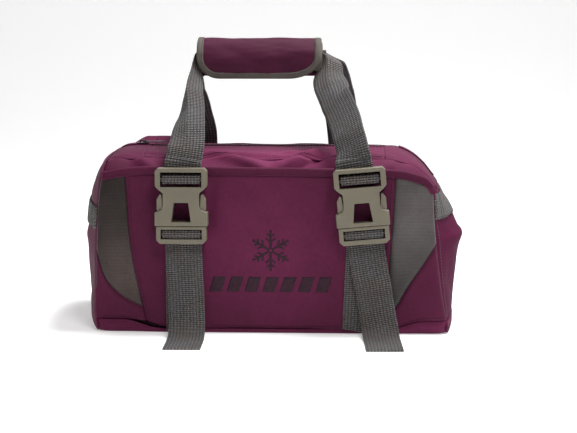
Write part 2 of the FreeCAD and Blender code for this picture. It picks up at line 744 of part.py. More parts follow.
def handle():
    """A padded sleeve round the webbing of both handles, closed by a bound flap over hook and loop."""
    middle = size("handle_x")
    long = size("wrap_length")
    radius = size("wrap_radius")
    wall = size("wrap_wall")
    flap = size("flap_wall")
    trim = size("binding_width")
    sleeve = ring_sector(radius, wall, size("sleeve_from"), size("sleeve_to"), long, middle)
    fabric_piece("handle_wrap", sleeve)
    strip_long = long - size("strip_margin")
    loop = size("loop_thickness")
    hook = size("hook_thickness")
    for label, outside, thick in (("loop_strip", radius + loop, loop), ("hook_strip", radius + 2.5, hook)):
        strip = ring_sector(outside, thick, size("strip_from"), size("strip_to"), strip_long, middle)
        fabric_piece(label, strip)
    start = size("cover_from")
    end = size("cover_to")
    inner_long = long - 2 * trim
    cover = ring_sector(radius + 2.6 + flap, flap, start, end, inner_long - 0.2, middle)
    fabric_piece("wrap_flap", cover)
    rim = ring_sector(radius + 3.0 + flap, flap + 0.6, start, end + size("binding_turn"), long, middle)
    hole = ring_sector(radius + 8.0, 14.0, start - 6, end + 0.2, inner_long - 0.1, middle)
    fabric_piece("wrap_binding", one_solid(rim.cut(hole)))
    turned = size("core_width")
    for place, deep in (("front", -2.4), ("rear", 2.4)):
        band = box(middle - long / 2 + 0.5, middle + long / 2 - 0.5, deep - 0.9, deep + 0.9,
                   size("handle_z") - turned / 2, size("handle_z") + turned / 2)
        fabric_piece(f"grip_webbing_{place}", band)


body_panels()
top_pieces()
zipper()
slider()
pocket_front()
base_board()
end_bands()
handle_legs()
back_webbing()
lower_webbing()
for buckle, lean in (("left", "0"), ("right", "buckle_right_tilt")):
    buckle_socket(buckle, lean)
    buckle_plug(buckle, lean)
    webbing_turn(f"top_{buckle}", buckle, "socket_bar", lean)
    webbing_turn(f"low_{buckle}", buckle, "plug_bar", lean)
    for prong_side in ("left", "right"):
        buckle_prong(buckle, prong_side, lean)
handle()

# ---------------------------------------------------------------- check and write
doc.recompute()
for item in doc.Objects:
    if "Invalid" in item.State or "Error" in item.State:
        raise RuntimeError(f"{item.Label} did not compute: {item.State}")
for item in NODES:
    if item.Shape.isNull() or not item.Shape.isValid() or not item.Shape.Solids:
        raise RuntimeError(f"{item.Label} has no valid solid")
os.makedirs("parts", exist_ok=True)
for item in NODES:
    item.Shape.exportStep(f"parts/{item.Label}.step")
print(len(NODES), "nodes")
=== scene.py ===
import math

import bmesh
import bpy
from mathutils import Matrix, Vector, noise


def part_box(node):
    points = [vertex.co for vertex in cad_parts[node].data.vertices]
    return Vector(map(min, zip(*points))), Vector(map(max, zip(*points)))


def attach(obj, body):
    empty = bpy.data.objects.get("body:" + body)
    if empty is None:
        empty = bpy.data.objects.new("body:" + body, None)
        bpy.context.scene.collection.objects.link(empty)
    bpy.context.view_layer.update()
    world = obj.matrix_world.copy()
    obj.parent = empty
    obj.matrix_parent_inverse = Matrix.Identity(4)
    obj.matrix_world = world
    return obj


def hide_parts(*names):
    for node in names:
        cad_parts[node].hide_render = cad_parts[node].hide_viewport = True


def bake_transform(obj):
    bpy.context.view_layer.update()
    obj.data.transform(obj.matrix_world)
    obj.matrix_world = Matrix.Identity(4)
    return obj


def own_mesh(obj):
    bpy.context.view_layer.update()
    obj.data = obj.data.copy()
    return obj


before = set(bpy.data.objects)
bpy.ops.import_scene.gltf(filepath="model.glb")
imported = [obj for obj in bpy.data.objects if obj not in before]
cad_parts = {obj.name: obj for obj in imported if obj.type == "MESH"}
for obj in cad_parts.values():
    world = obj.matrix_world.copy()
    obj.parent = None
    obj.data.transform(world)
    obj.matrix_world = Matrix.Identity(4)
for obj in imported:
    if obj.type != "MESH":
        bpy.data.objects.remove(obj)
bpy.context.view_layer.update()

# All lengths in this script are millimetres, turned into metres where a mesh is made.
MM = 0.001


def cad(node):
    """A CAD node's lowest and highest corners, in millimetres."""
    low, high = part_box(node)
    return low / MM, high / MM


# ---------------------------------------------------------------- places taken from the frame
# The hem stands a little proud of the pocket's wall, which is the bag's front.
FRONT = cad("pocket_hem")[0].y + 0.9
BACK = cad("back_panel")[1].y
INNER_FRONT = cad("front_panel")[0].y
ROOF = cad("top_flap_front")[1].z
SEAM_UP = cad("front_panel")[0].z
HEM_FOOT = cad("pocket_hem")[0].z
HEM_TOP = cad("pocket_hem")[1].z
HINGE_Y = cad("top_flap_rear")[1].y
HINGE_UP = ROOF - 5.0
# Where the flaps' cloth ends to the left and to the right.
MOUTH_LEFT = cad("top_flap_front")[0].x
MOUTH_RIGHT = cad("top_flap_front")[1].x
BORDER_Y = cad("top_border_rear")[1].y - 2.0
# Where the walls end and their turn to the roof begins.
CHEST_UP = HEM_TOP - 32.0
# The middle of both ends, as (depth, height).
END_HEART = (0.0, 96.0)
# How far the flaps' cloth stays from the zipper's middle line.
COIL_EDGE = 8.6
# The pocket's patches have their columns spaced evenly at this height.
PATCH_UP = 90

# ---------------------------------------------------------------- materials' measures
WEB = 38.0
WEB_THICK = 1.8
CLOTH_THICK = 1.5
# Sewing thread: its thickness and how far its middle stands off the cloth.
THREAD = 0.62
THREAD_LIFT = 0.16
# How far the print stands off the pocket.
INK_LIFT = 0.16
# The plain cloth's thread spacing, in metres.
WEAVE = 0.00062
# How far the floor reaches to the front and to both sides.
PAPER = 14000
UP = Vector((0, 0, 1))

# ---------------------------------------------------------------- the bag's outline
# How far the end seams stand from the middle at a height: (height, reach).
LEFT_REACH = [(0, 187), (12, 189), (60, 188), (95, 186.5), (125, 185.5), (150, 183), (165, 180.5),
              (179, 177), (188, 172), (193, 168)]
RIGHT_REACH = [(0, 183), (16, 181.5), (40, 177), (86, 171), (123, 167.5), (150, 166.5), (170, 167), (193, 169)]
# How far the ends, which are full in the middle, reach half-way between front and back.
LEFT_MIDDLE = [(0, 202), (12, 206), (60, 207.5), (118, 207), (150, 203), (165, 196), (179, 186),
               (188, 176), (193, 170)]
RIGHT_MIDDLE = [(0, 190), (6, 192), (40, 194.5), (80, 198.5), (97, 201.5), (108, 198), (141, 188.5),
                (161, 181.5), (184, 173), (193, 170)]
# How far the cloth sinks at roof height towards the unsupported right-hand end: (place, drop).
SLUMP = [(95, 0), (118, 0.6), (133, 2), (148, 9.5), (160, 20), (171, 31), (200, 34)]
SLUMP_FOOT = 100.0
# The walls turn in towards the end seams: over this width, by this much.
EDGE_WIDTH = 15.0
EDGE_DROP = 5.0

# Folds in the cloth, as crease() takes them: (start, end, width, height above the cloth). The pocket's
# places are (x, z), the roof's (x, y) and the ends' (y, z).
POCKET_CREASES = (
    ((-70, 150), (-40, 30), 26, -1.3), ((-60, 120), (20, 160), 16, 1.1), ((55, 150), (20, 60), 24, -1.2),
    ((62, 168), (56, 95), 5, -1.6), ((-64, 165), (-70, 105), 6, -1.3), ((0, 30), (90, 14), 14, 1.2),
    ((110, 160), (70, 110), 12, 0.9), ((-30, 166), (-12, 128), 10, -0.9), ((15, 165), (30, 132), 9, 0.8),
    ((-178, 130), (-160, 60), 10, -1.0), ((150, 150), (160, 80), 12, -1.2), ((-120, 20), (-60, 50), 16, 1.0),
)
TOP_CREASES = (
    ((-80, -64), (-6, -84), 4.5, 5.4), ((-80, -55), (2, -72), 4, -4.2), ((54, -58), (-8, -89), 4.5, 5.2),
    ((60, -66), (6, -95), 3.5, -3.8), ((-84, -86), (-36, -92), 5, 3.0), ((75, -95), (50, -70), 7, 1.8),
    ((8, -58), (44, -62), 5, 3.2), ((-166, -92), (-140, -64), 8, -2.6), ((120, -92), (140, -62), 8, -2.4),
    ((-163, 50), (-108, 56), 13, 9.0),
    ((-120, -96), (-100, -70), 6, 1.8), ((-150, -70), (-118, -92), 5, 3.0),
    ((-140, -60), (-110, -72), 5, -2.2), ((60, -74), (112, -64), 5, 2.6), ((96, -90), (128, -78), 5, 2.0),
)
END_CREASES = (
    ((-60, 150), (20, 172), 10, -1.6), ((70, 60), (20, 20), 14, -2.0), ((-80, 70), (-30, 16), 14, -2.0),
    ((-70, 97), (70, 99), 7, 1.6), ((-85, 110), (-20, 140), 12, -1.2),
)


# ---------------------------------------------------------------- small mathematics
def clamp(value, low=0.0, high=1.0):
    return max(low, min(high, value))


def smooth(value):
    value = clamp(value)
    return value * value * (3 - 2 * value)


def mix(a, b, share):
    return a + (b - a) * share


def through(points, at):
    """A smooth curve through (place, value) pairs, read at a place."""
    at = clamp(at, points[0][0], points[-1][0])
    last = len(points) - 1
    i = next((k for k in range(last) if at <= points[k + 1][0]), last - 1)

    def slope(k):
        low, high = points[max(k - 1, 0)], points[min(k + 1, last)]
        return (high[1] - low[1]) / (high[0] - low[0])

    span = points[i + 1][0] - points[i][0]
    t = (at - points[i][0]) / span
    a, b = points[i][1], points[i + 1][1]
    return ((2 * t**3 - 3 * t**2 + 1) * a + (t**3 - 2 * t**2 + t) * span * slope(i)
            + (3 * t**2 - 2 * t**3) * b + (t**3 - t**2) * span * slope(i + 1))


def arc(first, middle, last, steps):
    """Points on the circle through three points of a plane, ends included."""
    (ax, ay), (bx, by), (cx, cy) = first, middle, last
    d = 2 * (ax * (by - cy) + bx * (cy - ay) + cx * (ay - by))
    ux = ((ax**2 + ay**2) * (by - cy) + (bx**2 + by**2) * (cy - ay) + (cx**2 + cy**2) * (ay - by)) / d
    uy = ((ax**2 + ay**2) * (cx - bx) + (bx**2 + by**2) * (ax - cx) + (cx**2 + cy**2) * (bx - ax)) / d
    radius = math.hypot(ax - ux, ay - uy)
    start = math.atan2(ay - uy, ax - ux)
    turn = math.atan2(cy - uy, cx - ux) - start
    via = math.atan2(by - uy, bx - ux) - start
    turn, via = turn % (2 * math.pi), via % (2 * math.pi)
    if via > turn:
        turn -= 2 * math.pi
    angles = [start + turn * k / steps for k in range(steps + 1)]
    return [(ux + radius * math.cos(angle), uy + radius * math.sin(angle)) for angle in angles]


def line(first, last, steps):
    return [(mix(first[0], last[0], k / steps), mix(first[1], last[1], k / steps)) for k in range(steps + 1)]


def joined(*runs):
    """Runs of points that share their end points, as one list."""
    points = list(runs[0])
    for run in runs[1:]:
        points += run[1:]
    return points


def evened(points, count):
    """The same path with count points at even distances."""
    points = [Vector(p) for p in points]
    lengths = [0.0]
    for a, b in zip(points, points[1:]):
        lengths.append(lengths[-1] + (b - a).length)
    result, k = [], 0
    for i in range(count):
        want = lengths[-1] * i / (count - 1)
        while k < len(points) - 2 and lengths[k + 1] < want:
            k += 1
        span = lengths[k + 1] - lengths[k] or 1.0
        result.append(points[k].lerp(points[k + 1], (want - lengths[k]) / span))
    return result


def curve(points, count):
    """A smooth curve through 3-D points, evened."""
    points = [Vector(p) for p in points]
    shaded_wrap = [points[0] * 2 - points[1]] + points + [points[-1] * 2 - points[-2]]
    fine = []
    for a, b, c, d in zip(shaded_wrap, shaded_wrap[1:], shaded_wrap[2:], shaded_wrap[3:]):
        for k in range(16):
            t = k / 16
            fine.append(0.5 * (2 * b + (c - a) * t + (2 * a - 5 * b + 4 * c - d) * t * t
                               + (3 * b - a - 3 * c + d) * t**3))
    return evened(fine + [points[-1]], count)


def run_at(path, i):
    """The direction of a path at its i-th point."""
    return (path[min(i + 1, len(path) - 1)] - path[max(i - 1, 0)]).normalized()


def rumple(place, size, seed=0.0):
    """Smooth unevenness from -1 to 1, with features of about the given size."""
    return noise.noise(Vector(place) / size + Vector((seed, seed * 1.7, seed * 0.3)))


# ---------------------------------------------------------------- making meshes
def new_object(name, verts, faces, uvs=None):
    """A mesh object from millimetre vertices; uvs is one (across, along) pair a vertex, in millimetres."""
    mesh = bpy.data.meshes.new(name)
    mesh.from_pydata([Vector(v) * MM for v in verts], [], faces)
    if uvs:
        layer = mesh.uv_layers.new(name="cloth")
        for loop in mesh.loops:
            across, along = uvs[loop.vertex_index]
            layer.data[loop.index].uv = (across * MM, along * MM)
    mesh.polygons.foreach_set("use_smooth", [True] * len(mesh.polygons))
    obj = bpy.data.objects.new(name, mesh)
    bpy.context.scene.collection.objects.link(obj)
    return obj


def grid(rows, uv_rows=None, around=False):
    """Vertices, faces and uvs of a grid of rows; around joins each row's last point to its first."""
    verts, faces, uvs = [], [], []
    wide = len(rows[0])
    for i, row in enumerate(rows):
        verts += row
        uvs += uv_rows[i] if uv_rows else [(0, 0)] * wide
    for i in range(len(rows) - 1):
        for j in range(wide if around else wide - 1):
            a, b = i * wide + j, i * wide + (j + 1) % wide
            faces.append((a, b, b + wide, a + wide))
    return verts, faces, uvs


def ringed(rows):
    """Vertices and faces of a tube of rings that is closed at both ends."""
    verts, faces, _ = grid(rows, around=True)
    wide = len(rows[0])
    faces.append(tuple(range(wide))[::-1])
    faces.append(tuple(range(len(verts) - wide, len(verts))))
    return verts, faces


def woven(lines, columns, point):
    """Rows of spots and of cloth coordinates; point(line, column) gives the pair at one place."""
    pairs = [[point(j, i) for i in range(columns)] for j in range(lines)]
    return [[spot for spot, _ in row] for row in pairs], [[uv for _, uv in row] for row in pairs]


def cloth(name, rows, uv_rows, thick=CLOTH_THICK, flip=False, around=False, outward=False):
    """A sewn panel: a grid with the fabric's thickness behind its outer face.

    Flip says that the grid's faces look inward; outward turns those of the finished piece out.
    """
    verts, faces, uvs = grid(rows, uv_rows, around)
    if flip:
        faces = [face[::-1] for face in faces]
    obj = new_object(name, verts, faces, uvs)
    if thick:
        thicken(obj, thick, even=True)
    if outward:
        flip_faces(obj)
    return obj


def closed_cloth(name, rows, uvs, thick, flip):
    """A panel of rings that close in on its middle, where the small hole that is left is filled."""
    panel = cloth(name, rows, uvs, 0, flip, around=True)
    count = len(rows[0])
    mesh = bmesh.new()
    mesh.from_mesh(panel.data)
    last = list(mesh.verts)[-count:]
    heart = mesh.verts.new(sum((v.co for v in last), Vector()) / count)
    for a, b in zip(last, last[1:] + last[:1]):
        mesh.faces.new((a, b, heart)).smooth = True
    bmesh.ops.recalc_face_normals(mesh, faces=mesh.faces)
    mesh.to_mesh(panel.data)
    mesh.free()
    thicken(panel, thick)
    return panel


def thicken(obj, thick, even=False):
    """Puts a cloth's thickness behind its outer face; even keeps it the same round sharp bends."""
    shell = obj.modifiers.new("thickness", "SOLIDIFY")
    shell.thickness = thick * MM
    shell.offset = -1.0
    shell.use_even_offset = even
    apply_all(obj)


def flip_faces(obj):
    """Turns a closed or thickened piece's faces outward."""
    mesh = bmesh.new()
    mesh.from_mesh(obj.data)
    bmesh.ops.recalc_face_normals(mesh, faces=mesh.faces)
    mesh.to_mesh(obj.data)
    mesh.free()


def apply_all(obj):
    """Bakes an object's modifiers into its mesh."""
    bpy.context.view_layer.update()
    graph = bpy.context.evaluated_depsgraph_get()
    mesh = bpy.data.meshes.new_from_object(obj.evaluated_get(graph))
    old = obj.data
    obj.modifiers.clear()
    obj.data = mesh
    bpy.data.meshes.remove(old)
    mesh.name = obj.name


def dress(obj, body, slot, material, *nodes):
    """Gives a piece its material and the body that it rides on, and hides the CAD nodes that it stands for."""
    obj.data.materials.clear()
    obj.data.materials.append(material)
    if body:
        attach(obj, body)
    if nodes:
        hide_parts(*nodes)
    return obj


def stand_in(obj, body, slot, material):
    """Dresses a piece that bears the name of the one CAD node that it stands for."""
    return dress(obj, body, slot, material, obj.name.split(".")[0])


def tube(path, normals, wide, tall, sides):
    """Vertices and faces of an oval tube along a path."""
    angles = [2 * math.pi * k / sides for k in range(sides)]
    rings = []
    for i, spot in enumerate(path):
        run = run_at(path, i)
        out = (normals[i] - run * normals[i].dot(run)).normalized()
        side = run.cross(out)
        rings.append([spot + side * (wide / 2 * math.cos(angle)) + out * (tall / 2 * math.sin(angle))
                      for angle in angles])
    return ringed(rings)


def merged(name, parts):
    """One object from several lists of vertices and faces."""
    verts, faces = [], []
    for some, joins in parts:
        faces += [tuple(k + len(verts) for k in face) for face in joins]
        verts += some
    return new_object(name, verts, faces)


def level(path, out):
    """A line of stitches that all face the same way."""
    return path, [Vector(out)] * len(path)


def sew(name, lines, body, slot, yarn, pitch=3.4, length=2.3):
    """One piece for rows of thread stitches; each line is (path, outward directions)."""
    parts = []
    for path, outs in lines:
        total = sum((b - a).length for a, b in zip(path, path[1:]))
        count = max(2, int(total / pitch))
        fine = evened(path, count * 3 + 1)
        share = (len(outs) - 1) / (len(fine) - 1)
        for k in range(count):
            a, b = fine[3 * k], fine[3 * k + 2]
            out = outs[round(3 * k * share)].normalized()
            run = (b - a).normalized()
            middle = (a + b) / 2 + out * THREAD_LIFT
            half = length / 2
            spots = [middle - run * half - out * 0.3, middle - run * half * 0.6, middle + run * half * 0.6,
                     middle + run * half - out * 0.3]
            parts.append(tube(spots, [out] * 4, THREAD * 1.3, THREAD, 5))
    return dress(merged(name, parts), body, slot, yarn)


# ---------------------------------------------------------------- camera, light and floor
def camera_and_light():
    """The photograph's view: nearly square on, a little to the right and from above the roof."""
    scene = bpy.context.scene

    def aimed(name, data, place, aim):
        obj = bpy.data.objects.new(name, data)
        scene.collection.objects.link(obj)
        obj.location = place
        obj.rotation_euler = (Vector(aim) - Vector(place)).to_track_quat("-Z", "Y").to_euler()
        return obj

    def lamp(name, place, aim, width, power, tint=(1, 1, 1)):
        data = bpy.data.lights.new(name, "AREA")
        data.shape = "RECTANGLE"
        data.size, data.size_y = width
        data.energy = power
        data.color = tint
        aimed(name, data, place, aim)

    target = Vector((0.0156, FRONT * MM, 0.1243))
    distance, rise, sideways = 1.60, 0.205, math.radians(2.5)
    lens = bpy.data.cameras.new("camera")
    lens.sensor_width = 36.0
    lens.lens = 96.5
    away = Vector((math.sin(sideways) * distance, -math.cos(sideways) * distance, rise))
    scene.camera = aimed("camera", lens, target + away, target)

    lamp("key", (0.34, -1.1, 1.3), (0.02, 0, 0.13), (0.4, 0.35), 10.0, (1.0, 0.99, 0.98))
    lamp("fill", (-1.2, -1.3, 0.7), (-0.05, 0, 0.1), (0.8, 0.8), 1.2)
    lamp("top", (0.36, 0.06, 1.38), (0.05, -0.02, 0.17), (0.6, 0.45), 31)
    world = bpy.data.worlds.new("studio")
    world.use_nodes = True
    sky = world.node_tree.nodes["Background"]
    sky.inputs["Color"].default_value = (1, 1, 1, 1)
    sky.inputs["Strength"].default_value = 0.14
    scene.world = world
    scene.view_settings.view_transform = "Standard"

    # The sheet of paper on the table: flat far past the bag on all sides, turned up behind it.
    section = joined(line((-PAPER, 0), (1200, 0), 2), arc((1200, 0), (1950, 310), (2260, 1060), 24))
    section.append((2260, 4000))
    verts, faces, _ = grid([[Vector((x, y, z)) for x in (-PAPER, PAPER)] for y, z in section])
    floor = new_object("floor", verts, faces)
    paint = Paint("floor", 0.8, Base_Color=(0.9, 0.9, 0.9, 1), Emission_Color=(1, 1, 1, 1),
                  Emission_Strength=0.34)
    floor.data.materials.append(paint.material)


# ---------------------------------------------------------------- materials
class Paint:
    """A Principled material built up from a few procedural nodes."""

    def __init__(self, name, roughness, **sockets):
        self.material = bpy.data.materials.new(name)
        self.material.use_nodes = True
        self.tree = self.material.node_tree
        self.shader = self.tree.nodes["Principled BSDF"]
        self.shader.inputs["Roughness"].default_value = roughness
        for socket, amount in sockets.items():
            self.shader.inputs[socket.replace("_", " ")].default_value = amount
        place = self.tree.nodes.new("ShaderNodeTexCoord")
        self.spots = {"UV": place.outputs["UV"], "Object": place.outputs["Object"]}

    def node(self, kind, links, **values):
        made = self.tree.nodes.new(kind)
        for name, value in values.items():
            setattr(made, name, value)
        for socket, source in links.items():
            if hasattr(source, "is_output"):
                self.tree.links.new(source, made.inputs[socket])
            else:
                made.inputs[socket].default_value = source
        return made

    def math(self, operation, a, b=0.0):
        return self.node("ShaderNodeMath", {0: a, 1: b}, operation=operation).outputs[0]

    def bands(self, pitch, direction, place="UV", distortion=0.0):
        """Soft ridges with the given pitch in metres, across the named direction."""
        links = {"Vector": self.spots[place], "Scale": 0.31416 / pitch, "Distortion": distortion,
                 "Detail": 1.0, "Detail Scale": 1.0}
        return self.node("ShaderNodeTexWave", links, bands_direction=direction).outputs["Fac"]

    def noise(self, size, detail=3.0):
        """Clouds with features of the given size in metres."""
        links = {"Vector": self.spots["Object"], "Scale": 1.0 / size, "Detail": detail, "Roughness": 0.55}
        return self.node("ShaderNodeTexNoise", links).outputs["Fac"]

    def ramp(self, source, *stops):
        made = self.node("ShaderNodeValToRGB", {"Fac": source})
        ramp = made.color_ramp
        for k, (at, colour) in enumerate(stops):
            stop = ramp.elements[k] if k < 2 else ramp.elements.new(at)
            stop.position = at
            stop.color = (*colour, 1)
        return made.outputs["Color"]

    def tones(self, source, low, high, colour=(1, 1, 1), at=(0.3, 0.7)):
        """A colour from times low to times high, between two values of the source."""
        return self.ramp(source, (at[0], shade(colour, low)), (at[1], shade(colour, high)))

    def blend(self, share, a, b, mode="MIX"):
        sockets = {0: share, 6: a, 7: b}
        return self.node("ShaderNodeMix", sockets, data_type="RGBA", blend_type=mode).outputs[2]

    def product(self, first, *others):
        for other in others:
            first = self.blend(1.0, first, other, "MULTIPLY")
        return first

    def painted_shading(self, source, centre, size, inner, outer):
        """Painted light and shade: the source colour times inner round a centre in metres, and times outer
        beyond a distance.
        """
        away = self.node("ShaderNodeVectorMath", {0: self.spots["Object"], 1: centre}, operation="DISTANCE")
        share = self.math("DIVIDE", away.outputs["Value"], size)
        return self.product(source, self.tones(share, inner, outer, at=(0.1, 1.0)))

    def colour(self, source):
        self.tree.links.new(source, self.shader.inputs["Base Color"])

    def rough(self, source, low, high):
        made = self.node("ShaderNodeMapRange", {"Value": source, "To Min": low, "To Max": high})
        self.tree.links.new(made.outputs[0], self.shader.inputs["Roughness"])

    def bump(self, *layers):
        """Bumps from (height, strength, depth in metres), coarse ones first."""
        normal = None
        for height, strength, depth in layers:
            links = {"Height": height, "Strength": strength, "Distance": depth}
            if normal:
                links["Normal"] = normal
            normal = self.node("ShaderNodeBump", links).outputs["Normal"]
        self.tree.links.new(normal, self.shader.inputs["Normal"])
        return self.material


def shade(colour, amount):
    """A colour made darker or lighter."""
    return tuple(channel * amount for channel in colour)


PLUM = (0.108, 0.015, 0.050)
GREY = (0.060, 0.052, 0.050)
WEBBING = (0.107, 0.101, 0.102)
TAUPE = (0.132, 0.116, 0.081)
BINDING = (0.095, 0.082, 0.072)


def plain_weave(name, colour, pitch=WEAVE, sheen=0.015, shine=0.09, falloff=None):
    """Coated polyester: a fine plain weave, faint mottling and slightly worn high spots, with a painted
    highlight round a patch and painted shade beyond it where one is given.
    """
    paint = Paint(name, 0.7, Sheen_Weight=sheen, Sheen_Roughness=0.45, Specular_IOR_Level=shine)
    weave = paint.math("MULTIPLY", paint.bands(pitch, "X"), paint.bands(pitch, "Y"))
    clouds = paint.noise(0.05, 4.0)
    fine = paint.noise(0.0035, 2.0)
    mixed = paint.blend(0.4, paint.tones(clouds, 0.78, 1.2, colour, (0.3, 0.72)),
                        paint.tones(fine, 0.84, 1.22, colour, (0.3, 0.75)))
    mixed = paint.blend(0.8, mixed, paint.tones(weave, 0.80, 1.12, at=(0.0, 0.8)), "MULTIPLY")
    paint.colour(paint.painted_shading(mixed, *falloff) if falloff else mixed)
    paint.rough(clouds, 0.58, 0.76)
    return paint.bump((clouds, 0.25, 0.0012), (fine, 0.18, 0.0003), (weave, 0.35, 0.00022))


def ribbed_cloth(name, colour, falloff, shine=0.45):
    """The grey inserts: fine raised ribs with a soft shine on their crests, and a painted highlight round a
    patch with painted shade beyond it.
    """
    paint = Paint(name, 0.5, Sheen_Weight=0.05, Sheen_Roughness=0.4, Specular_IOR_Level=shine)
    ribs = paint.bands(0.0015, "Y")
    cross = paint.bands(0.0011, "X")
    fine = paint.noise(0.002)
    clouds = paint.noise(0.04)
    mottle = paint.ramp(clouds, (0.3, (0.74, 0.72, 0.70)), (0.7, (1.22, 1.24, 1.26)))
    mixed = paint.product(paint.tones(ribs, 0.80, 1.12, colour, (0.1, 0.8)), mottle,
                          paint.tones(fine, 0.85, 1.12))
    paint.colour(paint.painted_shading(mixed, *falloff))
    paint.rough(ribs, 0.72, 0.5)
    return paint.bump((ribs, 0.4, 0.0003), (cross, 0.25, 0.0002), (fine, 0.3, 0.0002))


def webbing_cloth(name, colour):
    """Coarse polypropylene webbing: ribs across it, in rows of chevron floats along it."""
    paint = Paint(name, 0.66, Sheen_Weight=0.05, Sheen_Roughness=0.5, Specular_IOR_Level=0.28)
    ribs = paint.bands(0.0021, "Y", distortion=0.6)
    rows = paint.bands(0.0034, "X")
    yarn = paint.bands(0.0009, "X", distortion=1.0)
    fine = paint.noise(0.0016)
    clouds = paint.noise(0.03)
    relief = paint.math("MULTIPLY", ribs, paint.math("ADD", paint.math("MULTIPLY", rows, 0.75), 0.25))
    mottle = paint.ramp(clouds, (0.3, (0.96, 0.86, 0.78)), (0.7, (1.05, 1.08, 1.12)))
    paint.colour(paint.product(paint.tones(relief, 0.26, 1.45, colour, (0.06, 0.62)),
                               paint.tones(fine, 0.6, 1.3), mottle))
    paint.rough(relief, 0.8, 0.58)
    return paint.bump((relief, 1.0, 0.0012), (yarn, 0.3, 0.0002), (fine, 0.4, 0.0002))


def moulded(name, colour):
    """Acetal buckles: a fine spark-eroded grain, slightly polished where hands touch."""
    paint = Paint(name, 0.42, Specular_IOR_Level=0.5)
    grain = paint.noise(0.0007, 2.0)
    clouds = paint.noise(0.02)
    paint.colour(paint.tones(clouds, 0.92, 1.07, colour))
    paint.rough(clouds, 0.36, 0.5)
    return paint.bump((clouds, 0.08, 0.0006), (grain, 0.25, 0.00008))


def grained(name, colour, roughness, size, tones, bump, detail=2.0, at=(0.3, 0.7), worn=None, **sockets):
    """A material whose colour and bumps, and its roughness where worn is given, follow one grain."""
    paint = Paint(name, roughness, **sockets)
    grain = paint.noise(size, detail)
    paint.colour(paint.tones(grain, *tones, colour, at))
    if worn:
        paint.rough(grain, *worn)
    return paint.bump((grain, *bump))


def thread(name, colour):
    """Polyester sewing thread, with its twist."""
    return grained(name, colour, 0.6, 0.0006, (0.7, 1.25), (0.4, 0.0001), Sheen_Weight=0.02,
                   Specular_IOR_Level=0.15)


def painted_metal(name, colour):
    """The slider and its pull: dark paint, worn lighter in places."""
    return grained(name, colour, 0.36, 0.004, (1.0, 2.2), (0.1, 0.0001), detail=4.0, at=(0.45, 0.8),
                   worn=(0.28, 0.5), Metallic=0.75)


def fuzzy(name, colour):
    """Hook-and-loop tape: a short, dense pile."""
    return grained(name, colour, 0.9, 0.0009, (0.5, 1.8), (1.0, 0.0006), Sheen_Weight=0.6)


def print_ink(name, colour):
    """Screen print: the weave shows through it, and it is a little smoother than the cloth."""
    paint = Paint(name, 0.6, Specular_IOR_Level=0.12)
    weave = paint.math("MULTIPLY", paint.bands(WEAVE, "X", "Object"), paint.bands(WEAVE, "Z", "Object"))
    fine = paint.noise(0.003)
    paint.colour(paint.tones(fine, 0.8, 1.3, colour))
    return paint.bump((weave, 0.3, 0.0002), (fine, 0.2, 0.0002))


# ---------------------------------------------------------------- the bag's sewn shape
def reach(side, up):
    """How far the end seam stands from the middle at a height; side is -1 for the left end."""
    return through(LEFT_REACH if side < 0 else RIGHT_REACH, up)


def end_reach(side, y, up):
    """How far an end reaches at a depth and height: its seams at front and back, full between them."""
    seam = reach(side, up)
    middle = through(LEFT_MIDDLE if side < 0 else RIGHT_MIDDLE, up)
    return seam + (middle - seam) * (1 - clamp(abs(y) / 96) ** 2.2)


def slumped(spot):
    """A point of the bag's body after its right-hand end has sunk."""
    share = clamp((spot.z - SLUMP_FOOT) / (ROOF - SLUMP_FOOT))
    return Vector((spot.x, spot.y, spot.z - through(SLUMP, spot.x) * share))


def edge_drop(gap):
    """How far a panel turns in, at a distance from its end seam."""
    if gap >= EDGE_WIDTH:
        return 0.0
    share = 1 - gap / EDGE_WIDTH
    return EDGE_DROP * (1 - math.sqrt(max(0.0, 1 - share * share)))


def seam_dip(gap):
    """The groove that a seam pulls into the cloth, with the cloth a little full beside it."""
    gap = abs(gap)
    return -0.9 * math.exp(-(gap / 1.5) ** 2) + 0.4 * math.exp(-((gap - 5.5) / 3.5) ** 2)


def crease(x, z, start, end, width, depth):
    """A soft fold's height: it runs from start to end and fades out at both; below 0 it is a hollow."""
    ax, az = start
    bx, bz = end
    run = math.hypot(bx - ax, bz - az)
    t = ((x - ax) * (bx - ax) + (z - az) * (bz - az)) / (run * run)
    off = abs((x - ax) * (bz - az) - (z - az) * (bx - ax)) / run
    if t < -0.15 or t > 1.15:
        return 0.0
    falloff = smooth((t + 0.15) / 0.4) * smooth((1.15 - t) / 0.4)
    return depth * falloff * math.exp(-(off / width) ** 2)


def base_seam(x):
    """The height of the seam between the base and the walls: it rises towards the ends."""
    return mix(4.5, SEAM_UP + 2.0, smooth((abs(x) - 118) / 42))


def left_seam(up):
    """How far across the bag the left insert's inner seam runs at a height."""
    return through([(0, -131), (28, -138), (90, -150), (167, -155.5), (180, -156)], up)


def right_seam(up):
    """The same for the right insert's."""
    return through([(0, 126), (25, 125.5), (55, 120.5), (100, 123), (167, 127), (180, 127.5)], up)


def insert_foot(side, share):
    """The lower edge of a grey insert; share runs from the end seam, 0, to the inner seam, 1."""
    if side < 0:
        return through([(0, 88), (0.22, 60), (0.48, 44), (0.78, 33), (1, 28)], share)
    return through([(0, 96), (0.5, 61), (0.85, 35), (1, 26)], share)


def hem_top(x):
    """The pocket's upper edge, which droops where it meets the right-hand end."""
    return HEM_TOP + through([(-176, -5.5), (-150, -1.0), (-110, 0.6), (-40, -0.4), (20, -0.8), (70, -1.5),
                              (112, -1.7), (135, -3.6), (150, -7.5), (160, -12.0), (167, -20.0)], x)


